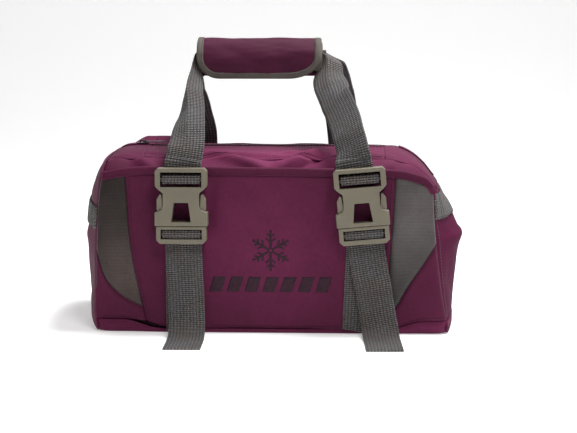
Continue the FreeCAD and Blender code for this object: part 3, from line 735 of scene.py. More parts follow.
def pocket_out(x, z):
    """How far the pocket's outer wall stands forward of its seams."""
    height = clamp((z - SEAM_UP) / (HEM_TOP - SEAM_UP))
    belly = 1.8 * math.sin(math.pi * height) - 0.6 * height
    side = -1 if x < 0 else 1
    out = belly - edge_drop(reach(side, z) - abs(x))
    out += 1.5 * sum(crease(x, z, *fold) for fold in POCKET_CREASES)
    out += 1.9 * rumple((x, 0, z), 58, 3.1) + 0.5 * rumple((x, 5, z), 15, 7.7)
    return out


def pocket_point(x, z, lift=0.0):
    """A point of the pocket's wall, or one lifted off it towards the front."""
    return Vector((x, FRONT - pocket_out(x, z) - lift, z))


def pocket_normal(x, z):
    """The outward direction of the pocket's wall."""
    dx = pocket_point(x + 1, z) - pocket_point(x - 1, z)
    dz = pocket_point(x, z + 1) - pocket_point(x, z - 1)
    return dx.cross(dz).normalized()


def pocket_patch(name, edges, lows, highs, columns, rows, seams):
    """A piece of the pocket's wall between two side edges and two heights, each a function."""
    left_edge, right_edge = edges

    def point(j, i):
        share = i / columns
        middle = mix(left_edge(PATCH_UP), right_edge(PATCH_UP), share)
        z = mix(lows(share, middle), highs(share, middle), j / rows)
        x = mix(left_edge(z), right_edge(z), share)
        return pocket_point(x, z, sum(seam_dip(gap(x, z)) for gap in seams)), (x, z)
    return cloth(name, *woven(rows + 1, columns + 1, point))


# How far a place on the pocket is from each of its seams.
def left_gap(x, z):
    return x - left_seam(z)


def right_gap(x, z):
    return x - right_seam(z)


def foot_gap(x, z):
    return z - base_seam(x)


def insert_gap(side):
    def gap(x, z):
        seam = left_seam(z) if side < 0 else right_seam(z)
        end = side * reach(side, z)
        share = clamp((x - end) / (seam - end))
        return (z - insert_foot(side, share)) * 0.8
    return gap


def outer_pocket(plum, greys, yarn):
    """The pocket's wall: the middle panel, two grey inserts and two corners, then hem and stitching."""
    def hem_foot(a, x):
        return hem_top(x) - (HEM_TOP - HEM_FOOT) + 1.0

    def foot(a, x):
        return base_seam(x)

    middle = pocket_patch("pocket_panel", (left_seam, right_seam), foot, hem_foot, 120, 72,
                          (left_gap, right_gap, foot_gap))
    stand_in(middle, "bag", "plum_fabric", plum)
    for side, name, seam, gap in ((-1, "left", left_seam, left_gap), (1, "right", right_seam, right_gap)):
        def end(z, side=side):
            return side * reach(side, z)

        def split(a, x, side=side):
            return insert_foot(side, a if side < 0 else 1 - a)

        edges = (end, seam) if side < 0 else (seam, end)
        insert = pocket_patch(f"{name}_mesh_insert", edges, split, hem_foot, 26, 64,
                              (gap, insert_gap(side)))
        stand_in(insert, "bag", "grey_mesh", greys[name])
        corner = pocket_patch(f"{name}_corner_panel", edges, foot, split, 26, 34,
                              (gap, insert_gap(side), foot_gap))
        stand_in(corner, "bag", "plum_fabric", plum)
    # The hem's cloth is a darker copy of the plum cloth: painted shade.
    pocket_hem(plain_weave("shaded hem cloth", shade(PLUM, 0.7)))
    pocket_stitching(yarn)


def hem_span(count):
    """Places along the hem from end seam to end seam."""
    left = -reach(-1, hem_top(-174))
    right = reach(1, hem_top(160))
    return [mix(left, right, i / (count - 1)) for i in range(count)]


def pocket_hem(plum):
    """The pocket's rolled top edge: cloth turned over, fuller than the wall, stitched along its foot."""
    tall = HEM_TOP - HEM_FOOT
    section = [(-1.5, 0.0), (0.8, 0.1), (2.0, 0.8), (2.3, 2.2), (2.0, 4.5), (2.4, 6.6), (1.9, 8.4),
               (0.4, 9.3), (-1.4, 8.8), (-2.2, 7.4), (-2.2, 0.2), (-1.5, 0.0)]
    along = hem_span(240)

    def point(j, i):
        (out, up), x = section[j], along[i]
        z = hem_top(x) - tall + up
        puff = 0.35 * rumple((x, 0, 0), 9, 2.0) + 0.4 * rumple((x, 0, 0), 30, 9.0)
        wave = 0.3 * rumple((x, up, 0), 14, 5.5) if up > 1 else 0.0
        lift = out + (puff if 0.5 < up < 8.5 and out > 0 else 0.0)
        spot = pocket_point(x, min(z, HEM_TOP), lift) + Vector((0, 0, max(0.0, z - HEM_TOP) + wave))
        return spot, (x, up + (12 if out < 0 else 0))
    hem = cloth("pocket_hem", *woven(len(section), len(along), point), thick=0, flip=True)
    stand_in(hem, "bag", "plum_fabric", plum)


def pocket_stitching(yarn):
    """The stitching beside the pocket's seams and along the foot of its hem."""
    lines = []

    def along(spots, lift=0.45):
        lines.append(([pocket_point(x, z, lift) for x, z in spots], [pocket_normal(x, z) for x, z in spots]))

    xs = hem_span(200)[2:-2]
    along([(x, hem_top(x) - 7.2) for x in xs], 2.35)
    for seam, step in ((left_seam, 3.6), (right_seam, -3.6)):
        heights = [mix(8, HEM_FOOT - 4, k / 60) for k in range(61)]
        along([(seam(z) + step, z) for z in heights if z > base_seam(seam(z)) + 1])
    for side, seam in ((-1, left_seam), (1, right_seam)):
        spots = []
        for k in range(50):
            share = 0.03 + 0.95 * k / 49
            z = insert_foot(side, share) - 3.0
            end = side * reach(side, z)
            spots.append((mix(end, seam(z), share), z))
        along(spots)
    along([(x, base_seam(x) + 3.2) for x in (mix(-180, 178, k / 220) for k in range(221))])
    sew("pocket_stitching", lines, "bag", "plum_fabric", yarn)


# ---------------------------------------------------------------- walls, roof and ends
def shoulder_path():
    """The front wall behind the pocket and the shoulder above it, up to the mouth's border seam."""
    wall = line((INNER_FRONT, SEAM_UP), (INNER_FRONT + 3, CHEST_UP), 10)
    turn = arc((INNER_FRONT + 3, CHEST_UP), (INNER_FRONT + 7.5, HEM_TOP - 5), (-HINGE_Y, HINGE_UP), 40)
    return [p for p in joined(wall, turn) if p[0] < -BORDER_Y] + [(-BORDER_Y, roof_up(-BORDER_Y))]


def back_path():
    """The back shoulder, from its border seam, and the back wall down to the base."""
    turn = arc((HINGE_Y, HINGE_UP), (BACK - 10.5, HEM_TOP - 5), (BACK - 3, CHEST_UP), 40)
    wall = line((BACK - 3, CHEST_UP), (BACK, SEAM_UP + 2), 20)
    beyond = [p for p in joined(turn, wall) if p[0] > BORDER_Y or p[1] < HEM_TOP]
    return [(BORDER_Y, roof_up(BORDER_Y))] + beyond


def roof_up(y):
    """The roof's height over a depth: a shallow arc, met by the shoulders' turn at its edges."""
    radius = (HINGE_Y**2 + (ROOF - HINGE_UP) ** 2) / (2 * (ROOF - HINGE_UP))
    if abs(y) <= HINGE_Y:
        return ROOF - radius + math.sqrt(radius**2 - y * y)
    return HINGE_UP - (abs(y) - HINGE_Y) * 0.42 - (abs(y) - HINGE_Y) ** 2 * 0.018


def evened_pairs(path, count):
    """A section of (y, z) with count points at even distances."""
    return [(p.x, p.y) for p in evened([(y, z, 0) for y, z in path], count)]


def wall_sheet(name, path, count, columns=150):
    """A wall from end seam to end seam whose section is a path of (y, z)."""
    path = evened_pairs(evened_pairs(path, count), count)
    sections, length = [], 0.0
    for j, (y, z) in enumerate(path):
        before, after = path[max(j - 1, 0)], path[min(j + 1, count - 1)]
        run = Vector((0, after[0] - before[0], after[1] - before[1])).normalized()
        length += math.hypot(y - before[0], z - before[1])
        sections.append((y, z, -run.cross(Vector((1, 0, 0))), length))

    def point(j, i):
        y, z, out, along = sections[j]
        u = mix(-1.0, 1.0, i / columns)
        limit = end_reach(-1 if u < 0 else 1, y, z)
        x = u * limit
        gap = limit - abs(x)
        calm = smooth(gap / 30)
        push = -edge_drop(gap) + seam_dip(gap) * 0.8
        push += calm * (1.1 * rumple((x, y, z), 48, 1.5) + 0.45 * rumple((x, y, z), 17, 4.5))
        if z > HEM_FOOT and y < 90:
            push += calm * sum(crease(x, y, *fold) for fold in TOP_CREASES)
        return slumped(Vector((x, y, z)) + out * push), (x, along)
    return cloth(name, *woven(count, columns + 1, point))


def end_ring(count=200):
    """The end seam's loop, from the base's front edge over the roof and back under the base."""
    corner = 12.0
    front = line((FRONT, corner), (FRONT + 1.2, CHEST_UP + 6), 16)
    turn = arc((FRONT + 1.2, CHEST_UP + 6), (FRONT + 11.5, HEM_TOP - 3), (-HINGE_Y, HINGE_UP), 16)
    roof = arc((-HINGE_Y, HINGE_UP), (0, ROOF), (HINGE_Y, HINGE_UP), 16)
    back_turn = arc((HINGE_Y, HINGE_UP), (BACK - 10.5, HEM_TOP - 5), (BACK - 3, CHEST_UP), 16)
    back = line((BACK - 3, CHEST_UP), (BACK, corner), 16)
    floor = joined(arc((BACK, corner), (BACK - 3.5, 3.5), (BACK - corner, 0.4), 6),
                   line((BACK - corner, 0.4), (FRONT + corner, 0.4), 16),
                   arc((FRONT + corner, 0.4), (FRONT + 3.5, 3.5), (FRONT, corner), 6))
    loop = evened([(y, z, 0) for y, z in joined(front, turn, roof, back_turn, back, floor)], count + 1)[:-1]
    heart = Vector(END_HEART)
    result = []
    for p in loop:
        flat = Vector((p.x, p.y))
        if p.y > 6:
            flat -= (flat - heart).normalized() * (EDGE_DROP - 0.9)
        result.append(flat)
    return result


def end_point(side, rim, share):
    """A point of an end panel: share runs from the rim, 0, to the panel's heart, 1."""
    heart = Vector(END_HEART)
    flat = heart.lerp(rim, 1 - share)
    y, up = flat
    gap = share * (rim - heart).length
    depth = end_reach(side, y, max(up, 0.0)) - 0.2 + seam_dip(gap) * 0.8
    calm = smooth(gap / 18)
    depth += calm * (1.3 * rumple((side * 50, y, up), 50, 6.0) + 0.5 * rumple((side * 50, y, up), 18, 2.0))
    depth += calm * sum(crease(y, up, *fold) for fold in END_CREASES)
    return slumped(Vector((side * depth, y, up)))


def end_panel(side, name, plum, web, yarn):
    """An end of the bag, with the stitching inside its seam and the webbing across it."""
    rim = end_ring()
    steps = 34
    rows = [[end_point(side, p, (k / steps) ** 1.25 * 0.985) for p in rim] for k in range(steps + 1)]
    uvs = [[(p.y, p.z) for p in row] for row in rows]
    panel = closed_cloth(f"{name}_end_panel", rows, uvs, CLOTH_THICK, side < 0)
    stand_in(panel, "bag", "plum_fabric", plum)
    ring = [p for p in rim if p.y > 14]
    path = [end_point(side, p, 0.045) for p in ring]
    outs = [Vector((side, p.x * 0.005, (p.y - 90) * 0.005)) for p in ring]
    sew(f"{name}_end_stitching", [(path, outs)], "bag", "plum_fabric", yarn)
    end_band(side, name, web, yarn)


def on_end(side, y, up):
    """The end panel's outer surface at a depth and height, found along the ray from its heart."""
    heart = Vector(END_HEART)
    want = Vector((y, up)) - heart
    best = max(end_ring(), key=lambda p: want.normalized().dot((p - heart).normalized()))
    return end_point(side, best, 1 - want.length / (best - heart).length)


def end_band(side, name, web, yarn):
    """The webbing sewn across an end panel from seam to seam."""
    foot, tall = (109, 24) if side < 0 else (131, 39)
    count, wide = 60, 8

    def point(i, j):
        y = mix(-93.5, 95.5, i / count)
        up = foot + tall * j / wide + 2.5 * math.sin(i / count * math.pi)
        edge = 0.5 if 0 < j < wide else 0.1
        return on_end(side, y, up) + Vector((side * (CLOTH_THICK + edge), 0, 0)), (tall * j / wide, y)
    rows, uvs = woven(count + 1, wide + 1, point)
    band = cloth(f"{name}_end_band", rows, uvs, 1.7, flip=side > 0)
    stand_in(band, "bag", "webbing", web)
    lines = [level(rows[i], (side, 0, 0)) for i in (4, 6, count - 4, count - 6)]
    sew(f"{name}_band_stitching", lines, "bag", "webbing", yarn, pitch=2.8)


def base_panel(plum):
    """The base: a flat bottom with soft edges that turn up to the base seam."""
    steps, corner = 260, 10.0
    ends = ((-1, -1), (1, -1), (1, 1), (-1, 1), (-1, -1))
    outline = []
    for k in range(steps):
        share = 4 * k / steps
        leg, t = int(share), share - int(share)
        (ax, ay), (bx, by) = ends[leg], ends[leg + 1]
        outline.append((mix(ax, bx, t), mix(ay, by, t)))
    # From the base seam down the walls and in to the middle: (share of the seam's height, inset).
    levels = [(1.0, -0.4), (0.5, 0.0), (0.22, 0.8), (0.06, 2.6), (0.0, 6.0), (0.0, 14.0), (0.0, 30.0),
              (0.0, 60.0), (0.0, 90.0)]

    def point(j, k):
        (level_share, inset), (sx, sy) = levels[j], outline[k]
        deep = (-FRONT if sy < 0 else BACK) - inset
        y = sy * deep
        wide = end_reach(-1 if sx < 0 else 1, y, 4.0) - inset
        x = sx * wide
        if abs(x) > wide - corner and abs(y) > deep - corner:
            away = Vector((abs(x) - (wide - corner), abs(y) - (deep - corner)))
            away = away.normalized() * max(away)
            x = math.copysign(wide - corner + away.x, x)
            y = math.copysign(deep - corner + away.y, y)
        up = (base_seam(x) if sy < -0.98 else SEAM_UP + 2.0) * level_share
        sag = 0.25 * rumple((x, y, up), 30, 8.0) if inset < 6 else 0.0
        return Vector((x, y + math.copysign(sag, y), max(up, 0.0))), (x, y)
    base = closed_cloth("base_panel", *woven(len(levels), steps, point), 1.4, True)
    stand_in(base, "bag", "plum_fabric", plum)


def body_walls(roof, plum):
    """The wall behind the pocket with the front shoulder, and the back wall with the rear one."""
    front = wall_sheet("front_panel", shoulder_path(), 70)
    dress(front, "bag", "plum_fabric", roof, "front_panel", "top_border_front")
    back = wall_sheet("back_panel", back_path(), 80)
    dress(back, "bag", "plum_fabric", plum, "back_panel", "top_border_rear")


def roof_end(side, y):
    """How far the roof's cloth reaches at a depth."""
    return end_reach(side, y, roof_up(y))


def roof_point(x, y):
    """The roof's outer surface, with the soft unevenness of its cloth."""
    calm = smooth((abs(y) - COIL_EDGE) / 12) * smooth((BORDER_Y - abs(y)) / 6 + 0.25)
    gap = roof_end(-1 if x < 0 else 1, y) - abs(x)
    push = calm * (1.2 * rumple((x, y, 190), 44, 1.5) + 0.4 * rumple((x, y, 190), 16, 4.5))
    push += calm * sum(crease(x, y, *fold) for fold in TOP_CREASES)
    push += seam_dip(BORDER_Y - abs(y)) * 0.7 - edge_drop(gap) * smooth(gap / 3 + 0.6)
    return slumped(Vector((x, y, roof_up(y) + push)))


def roof_cloth(name, side, spots, thick=1.4, lifts=None):
    """A piece of the roof from rows of (x, y) places; lifts raise the rows."""
    lifts = lifts or [0.0] * len(spots)
    rows = [[roof_point(x, y) + UP * lift for x, y in row] for row, lift in zip(spots, lifts)]
    return cloth(name, rows, spots, thick, flip=side > 0)


def mouth_flap(side, name, plum, tape_cloth, yarn):
    """One of the mouth's cloth flaps, with its zipper tape."""
    xs = [mix(MOUTH_LEFT, MOUTH_RIGHT, i / 130) for i in range(131)]
    spots = [[(x, side * mix(BORDER_Y, COIL_EDGE, j / 44)) for x in xs] for j in range(45)]
    flap = roof_cloth(f"top_flap_{name}", side, spots)
    stand_in(flap, None, "plum_fabric", plum)
    bend_at_hinge(flap)

    def seam(off):
        return level([roof_point(x, side * off) for x in xs[1:-1]], UP)

    def tape(j, i):
        y = side * mix(14.0, 2.6, j / 5)
        return slumped(Vector((xs[i], y, roof_up(y) - 0.9))), (xs[i], j * 2.2)

    sew(f"top_flap_{name}_stitching", [seam(COIL_EDGE + 2.0), seam(COIL_EDGE + 6.5)], f"flap_{name}",
        "plum_fabric", yarn)
    rim = sew(f"top_seam_{name}_stitching", [seam(BORDER_Y - 3.2)], None, "plum_fabric", yarn)
    bend_at_hinge(rim)
    strip = cloth(f"tape_{name}", *woven(6, len(xs), tape), 0.7, flip=side > 0)
    stand_in(strip, f"flap_{name}", "zip_tape", tape_cloth)


def roof_pieces(plum, tape_cloth, yarn):
    """The mouth's two flaps, the fixed cloth beyond them and a tab over each end of the chain."""
    for side, name in ((-1, "front"), (1, "rear")):
        mouth_flap(side, name, plum, tape_cloth, yarn)
        for way, end, mouth in ((-1, "left", MOUTH_LEFT), (1, "right", MOUTH_RIGHT)):
            spots = []
            for j in range(37):
                y = side * mix(BORDER_Y, 3.9, j / 36)
                low, high = sorted((mouth, way * roof_end(way, y)))
                spots.append([(mix(low, high, i / 26), y) for i in range(27)])
            patch = roof_cloth(f"top_end_{end}_{name}", side, spots)
            dress(patch, "bag", "plum_fabric", plum, *([f"top_end_{end}"] if side < 0 else []))
    for side, end in ((-1, "left"), (1, "right")):
        chain_end = cad(f"coil_end_{end}")[0 if side < 0 else 1].x
        spots = []
        for j in range(13):
            y = mix(-8.0, 8.0, j / 12)
            seam = side * (roof_end(side, y) - 0.6)
            spots.append([(mix(chain_end - side * 2.0, seam, i / 20), y) for i in range(21)])
        lifts = [0.6 - 0.4 * (j in (0, 12)) for j in range(13)]
        tab = roof_cloth(f"chain_end_tab_{end}", side, spots, 1.0, lifts)
        dress(tab, "bag", "plum_fabric", plum)


def bend_at_hinge(obj):
    """Bakes a flap piece's place into its mesh."""
    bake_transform(obj)


def zipper_coils(nylon):
    """Coil teeth: each a small rounded bar across its tape, the two sides out of step by half a pitch."""
    pitch = 1.6
    # A tooth's bar from its tape to the middle line: (depth, height).
    bar = ((3.3, 0.1), (2.5, 0.55), (0.9, 0.6), (-0.15, 0.15))

    def teeth(name, low, high, sides, body, node):
        parts = []
        for side in sides:
            for k in range(int((high - low) / pitch)):
                x = low + pitch * (k + (0.25 if side < 0 else 0.75))
                spots = [slumped(Vector((x, side * y, roof_up(side * y) - 0.35 + lift))) for y, lift in bar]
                parts.append(tube(spots, [UP] * 4, 0.95, 0.9, 6))
            for y, wide in ((3.0, 0.8), (1.9, 0.5)):
                cord = [slumped(Vector((mix(low, high, k / 60), side * y, roof_up(y) + 0.3)))
                        for k in range(61)]
                parts.append(tube(cord, [UP] * 61, wide, 0.5, 5))
        dress(merged(name, parts), body, "coil", nylon, node)

    teeth("coil_front", MOUTH_LEFT, MOUTH_RIGHT, (-1,), "flap_front", "coil_front")
    teeth("coil_rear", MOUTH_LEFT, MOUTH_RIGHT, (1,), "flap_rear", "coil_rear")
    for node in ("coil_end_left", "coil_end_right"):
        low, high = cad(node)
        teeth(f"{node}_teeth", low.x, high.x, (-1, 1), "bag", node)


# ---------------------------------------------------------------- webbing straps
# For each side: the places across the bag that its front and rear legs pass, how much of their width is
# seen at each, how far the front leg twists at the first five, the middle and tilt of its buckle, and
# where its lower strap stands, how far its tail drifts sideways and how much it leans.
SIDES = {
    "left": {"out": -1, "front": (-95, -94, -91, -90, -88, -87.5, -86.5, -77),
             "rear": (-95, -95, -95.5, -97, -95, -91, -86.5, -77), "seen": (38, 38, 38, 34, 23, 5, 2, 2),
             "twist": (0, 0, 0, 0, 0), "buckle": (-95.0, 136.5), "tilt": 0.0, "low": -94.0, "drift": 6.0,
             "lean": 0.0},
    "right": {"out": 1, "front": (88, 84, 80.7, 74, 62.7, 52, 48.5, 39),
              "rear": (73, 73, 71, 68, 64, 58, 51, 38), "seen": (38, 38, 38, 38, 38, 31, 14, 2),
              "twist": (0, 0.1, 0.7, 0.8, 0.8), "buckle": (92.0, 137.0), "tilt": math.radians(5), "low": 95.5,
              "drift": 20.0, "lean": 1.0},
}
# How far forward the buckles' middles are, and their ladder bars' places above and below them.
BUCKLE_Y = -112.0
TOP_BAR = 27.4
LOW_BAR = -29.5


def ribbon(name, stations, webbing, body="bag", put=stand_in, count=90, lift=0.0, mirror=False, seed=0.0,
           hand=1, slack=0.35):
    """Webbing along stations of (centre, seen width, across); hand is -1 where across points to the left.

    Where the seen width is less than the webbing's, the half that lies beyond its middle on the outer
    side is folded behind the other half. The direction across points to the half that stays in front.
    """
    centres = curve([s[0] for s in stations], count)
    lengths = [0.0]
    for a, b in zip(stations, stations[1:]):
        lengths.append(lengths[-1] + (Vector(b[0]) - Vector(a[0])).length)
    widths = [(at, s[1]) for at, s in zip(lengths, stations)]
    acrosses = [[(at, s[2][axis]) for at, s in zip(lengths, stations)] for axis in range(3)]
    half, middle_thread = WEB / 2, 8
    rows, uvs = [], []
    along = 0.0
    for i, centre in enumerate(centres):
        share = lengths[-1] * i / (count - 1)
        run = run_at(centres, i)
        across = Vector([through(acrosses[axis], share) for axis in range(3)])
        across = (across - run * across.dot(run)).normalized()
        out = across.cross(run) * hand
        turn = math.acos(clamp((through(widths, share) - half) / half, -0.94, 1.0))
        folded = across * math.cos(turn) + out * math.sin(turn)
        middle = centre - across * (half - half * max(math.cos(turn), 0.0)) / 2
        wave = rumple((0, along, 0), 24, seed) + 0.6 * rumple((0, along, 4), 13, seed)
        middle += out * (WEB_THICK / 2 + lift + slack * wave)
        if i:
            along += (centre - centres[i - 1]).length
        row, uv = [], []
        for k in range(-middle_thread, middle_thread + 1):
            s = half * k / middle_thread
            edge = -0.25 if abs(k) == middle_thread else 0.0
            spot = middle + (across if s >= 0 else folded) * s + out * edge
            row.append(Vector((spot.x, -spot.y, spot.z)) if mirror else spot)
            uv.append((s, along))
        rows.append(row)
        uvs.append(uv)
    strap = cloth(name, rows, uvs, WEB_THICK, flip=mirror != (hand < 0))
    return put(strap, body, "webbing", webbing), rows


def leg_stations(spec, rear=False):
    """The stations of a strap's leg, for ribbon(), from the bag's wall up into the handle."""
    side = -spec["out"]
    turn = 0.6 if side > 0 else 1.0
    places = [(-102.6, 150), (-102.8, 172)] if rear else [(-104, 161), (-104, 178)]
    places += [(-98, 198), (-80, 222), (-54, 246), (-26, 268), (-9, 283), (-3, 287)]
    back = (0, 0, 0, 0, 0) if rear else spec["twist"]
    down = (0, 0, 0, 0, -0.1)
    acrosses = [(side, 0.1 * (drop < 0) + twist, drop) for twist, drop in zip(back, down)]
    acrosses += [(turn * side, 0.4, -0.5), (0.3 * side, 0.2, -1), (0, 0, -1)]
    centres = [(x, y, z) for x, (y, z) in zip(spec["rear" if rear else "front"], places)]
    return list(zip(centres, spec["seen"], acrosses))


def straps(webbing, yarn):
    """All the webbing on both sides: legs, sewn ends, turns at the buckles, tails and the back's."""
    for side, spec in SIDES.items():
        for rear, name in ((False, "front"), (True, "rear")):
            leg, _ = ribbon(f"{name}_strap_{side}", leg_stations(spec, rear), webbing, None, mirror=rear,
                            seed=len(side) + 3.0 * rear, hand=-spec["out"], slack=1.5)
            follow_handle(leg)
        foot, rise, top = leg_stations(spec)[:3]
        short = (Vector(rise[0]).lerp(Vector(top[0]), 0.35), rise[1], rise[2])
        layer, rows = ribbon(f"sewn_end_{side}", [foot, rise, short], webbing, None, put=dress, count=20,
                             lift=2.2, seed=2.0, hand=-spec["out"])
        follow_handle(layer)
        tack = [level([p + Vector((0, -0.1, 0)) for p in rows[step][2:-2]], (0, -1, 0.3)) for step in (-3, -5)]
        follow_handle(sew(f"bar_tack_{side}", tack, None, "webbing", yarn, pitch=1.7, length=1.5))
        turned_webbing(side, spec, "top", webbing)
        turned_webbing(side, spec, "low", webbing)
        lower_webbing(side, spec, webbing, yarn)
        back_webbing(side, webbing, yarn)


def follow_handle(obj):
    """Bakes a leg's place into its mesh."""
    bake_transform(obj)


def at_buckle(spec, x, deep, up):
    """The place in the bag's frame of a point given in a buckle's own upright frame."""
    cx, cz = spec["buckle"]
    turn = spec["tilt"]
    return Vector((cx + x * math.cos(turn) - up * math.sin(turn), BUCKLE_Y + deep,
                   cz + x * math.sin(turn) + up * math.cos(turn)))


def turned_webbing(side, spec, half, webbing):
    """The webbing's turn over a buckle's ladder bar, full and round as stiff webbing turns."""
    bar, way = (TOP_BAR, 1) if half == "top" else (LOW_BAR, -1)
    loop = [(8.3, 4.5), (7.6, -1.6), (4.6, -4.6), (0.2, -5.0), (-3.4, -3.9), (-4.8, 0.2), (-3.4, 4.2),
            (0.4, 5.0), (3.6, 5.2), (5.2, 6.8), (5.6, 10.0)]
    path = curve([(deep, up, 0) for deep, up in loop], 34)

    def point(i, k):
        p, x = path[i], 19.8 * (k - 12) / 12
        puff = rumple((x, p.x, p.y), 7, len(side) + bar)
        swell = 1 + 0.10 * math.cos(x / 19 * math.pi / 2) + puff * 0.06
        return at_buckle(spec, x, p.x * (swell if p.x < 0 else 1), bar + way * p.y), (x, i)
    turn = cloth(f"webbing_turn_{half}_{side}", *woven(len(path), 25, point), flip=way < 0)
    stand_in(turn, "bag" if half == "top" else f"plug_{side}", "webbing", webbing)


def lower_webbing(side, spec, webbing, yarn):
    """The webbing below a buckle: the part held against the pocket and the loose tail in front of it."""
    foot, d, lean = spec["low"], spec["drift"], spec["lean"]
    flat, tilt = (1, 0, 0), (math.cos(spec["tilt"]), 0, math.sin(spec["tilt"]))
    roll = 0.10 * lean
    held = [((foot - 5 * lean, -101.6, 2.9), WEB, flat), ((foot - 4 * lean, -102.7, 12.0), WEB, flat),
            ((foot - 2 * lean, -102.9, 60), WEB, flat),
            ((foot, -102.9, 98), WEB, tilt), ((foot, -103.0, 109), WEB, tilt)]
    # The tail's places: (share of its drift, depth, height, direction across).
    fall = [(0, -105.1, 104.5, tilt), (0.05, -105.5, 96, tilt), (0.25, -111.0, 70, (1, -roll, 0.06 * lean)),
            (0.42, -112.4, 54, (1, -1.5 * roll, 0.1 * lean)), (0.55, -113.5, 38, (1, -2 * roll, 0.16 * lean)),
            (0.75, -120, 15, (1, -2 * roll, 0.16 * lean)), (0.85, -132, 4.4, flat), (0.92, -150, 1.6, flat),
            (1, -187, 1.2, flat)]
    tail = [((foot + share * d, y, z), WEB, across) for share, y, z, across in fall]
    strap, _ = ribbon(f"lower_strap_{side}", held, webbing, count=50, seed=4.0)
    shorten(strap)
    strap, rows = ribbon(f"strap_tail_{side}", tail, webbing, count=110, seed=6.0 + lean)
    shorten(strap)
    lines = [level([p + Vector((0, 0, 0.1)) for p in rows[step][1:-1]], UP) for step in (-4, -7)]
    sew(f"tail_hem_{side}", lines, "bag", "webbing", yarn, pitch=2.6, length=1.9)


def shorten(obj):
    """Gives a piece of webbing below a buckle its own copy of its mesh."""
    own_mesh(obj)


def back_webbing(side, webbing, yarn):
    """The webbing sewn down the back; it is shaped in front of the bag and mirrored."""
    low, high = cad(f"back_webbing_{side}")
    x = (low.x + high.x) / 2
    places = ((-100.3, 14), (-100.2, 60), (-100.0, 110), (-100.6, 154))
    stations = [((x, y, z), WEB, (1, 0, 0)) for y, z in places]
    _, rows = ribbon(f"back_webbing_{side}", stations, webbing, count=60, mirror=True, seed=8.0)
    lines = [level([row[k] for row in rows], (0, 1, 0)) for k in (1, 15)]
    lines += [level(rows[step][1:-1], (0, 1, 0)) for step in (3, -3)]
    sew(f"back_stitching_{side}", lines, "bag", "webbing", yarn, pitch=3.0)


# ---------------------------------------------------------------- the padded handle wrap
# The handle's middle line and the wrap's two ends.
WRAP_UP = 285.0
WRAP_LEFT = -87.0
WRAP_RIGHT = 47.0
EDGE_CORNER = 23.0
# The flap's right-hand lower corner is cut back further along the edge than its left-hand one.
CORNER_STRETCH = 1.5
# The angle of the flap's lower edge.
FLAP_END = 231.0
# From this angle on the flap, which is all beyond this radius, hangs straight down past the sleeve.
HANG_FROM = 190.0
FLAP_INNER = 19.4


def round_wrap(x, radius, degrees):
    """A point round the handle's middle line; 0 degrees is the back, 90 the top and 180 the front."""
    turn = math.radians(degrees)
    if radius < FLAP_INNER or degrees < HANG_FROM:
        return Vector((x, radius * math.cos(turn), WRAP_UP + radius * math.sin(turn)))
    start = math.radians(HANG_FROM)
    down = 22.0 * (turn - start)
    return Vector((x, radius * math.cos(start) - down * math.sin(start) * 0.8,
                   WRAP_UP + radius * math.sin(start) + down * math.cos(start)))


def stuffed(obj, voxel, pressure, most):
    """Fills a closed cloth shell: it is remeshed, blown up as cloth and never moved further than most."""
    remesh = obj.modifiers.new("even mesh", "REMESH")
    remesh.mode = "VOXEL"
    remesh.voxel_size = voxel * MM
    remesh.use_smooth_shade = True
    apply_all(obj)
    rest = [v.co.copy() for v in obj.data.vertices]
    filling = obj.modifiers.new("filling", "CLOTH")
    settings = filling.settings
    settings.quality = 6
    settings.mass = 0.2
    settings.tension_stiffness = settings.compression_stiffness = 30
    settings.shear_stiffness = 12
    settings.bending_stiffness = 2.0
    settings.use_pressure = True
    settings.uniform_pressure_force = pressure
    settings.effector_weights.gravity = 0.0
    filling.point_cache.frame_start, filling.point_cache.frame_end = 1, 20
    scene = bpy.context.scene
    for frame_number in range(1, 21):
        scene.frame_set(frame_number)
    apply_all(obj)
    scene.frame_set(1)
    for vertex, start in zip(obj.data.vertices, rest):
        moved = vertex.co - start
        if moved.length > most * MM:
            vertex.co = start + moved.normalized() * most * MM
    finer = obj.modifiers.new("finer", "SUBSURF")
    finer.levels = finer.render_levels = 1
    apply_all(obj)
    obj.data.polygons.foreach_set("use_smooth", [True] * len(obj.data.polygons))


def wrap_uvs(obj):
    """Cloth coordinates round the handle, in metres along and around it."""
    layer = obj.data.uv_layers.get("cloth") or obj.data.uv_layers.new(name="cloth")
    for loop in obj.data.loops:
        co = obj.data.vertices[loop.vertex_index].co / MM
        turn = math.degrees(math.atan2(co.z - WRAP_UP, co.y)) % 360
        layer.data[loop.index].uv = (co.x * MM, math.radians(turn) * 20 * MM)


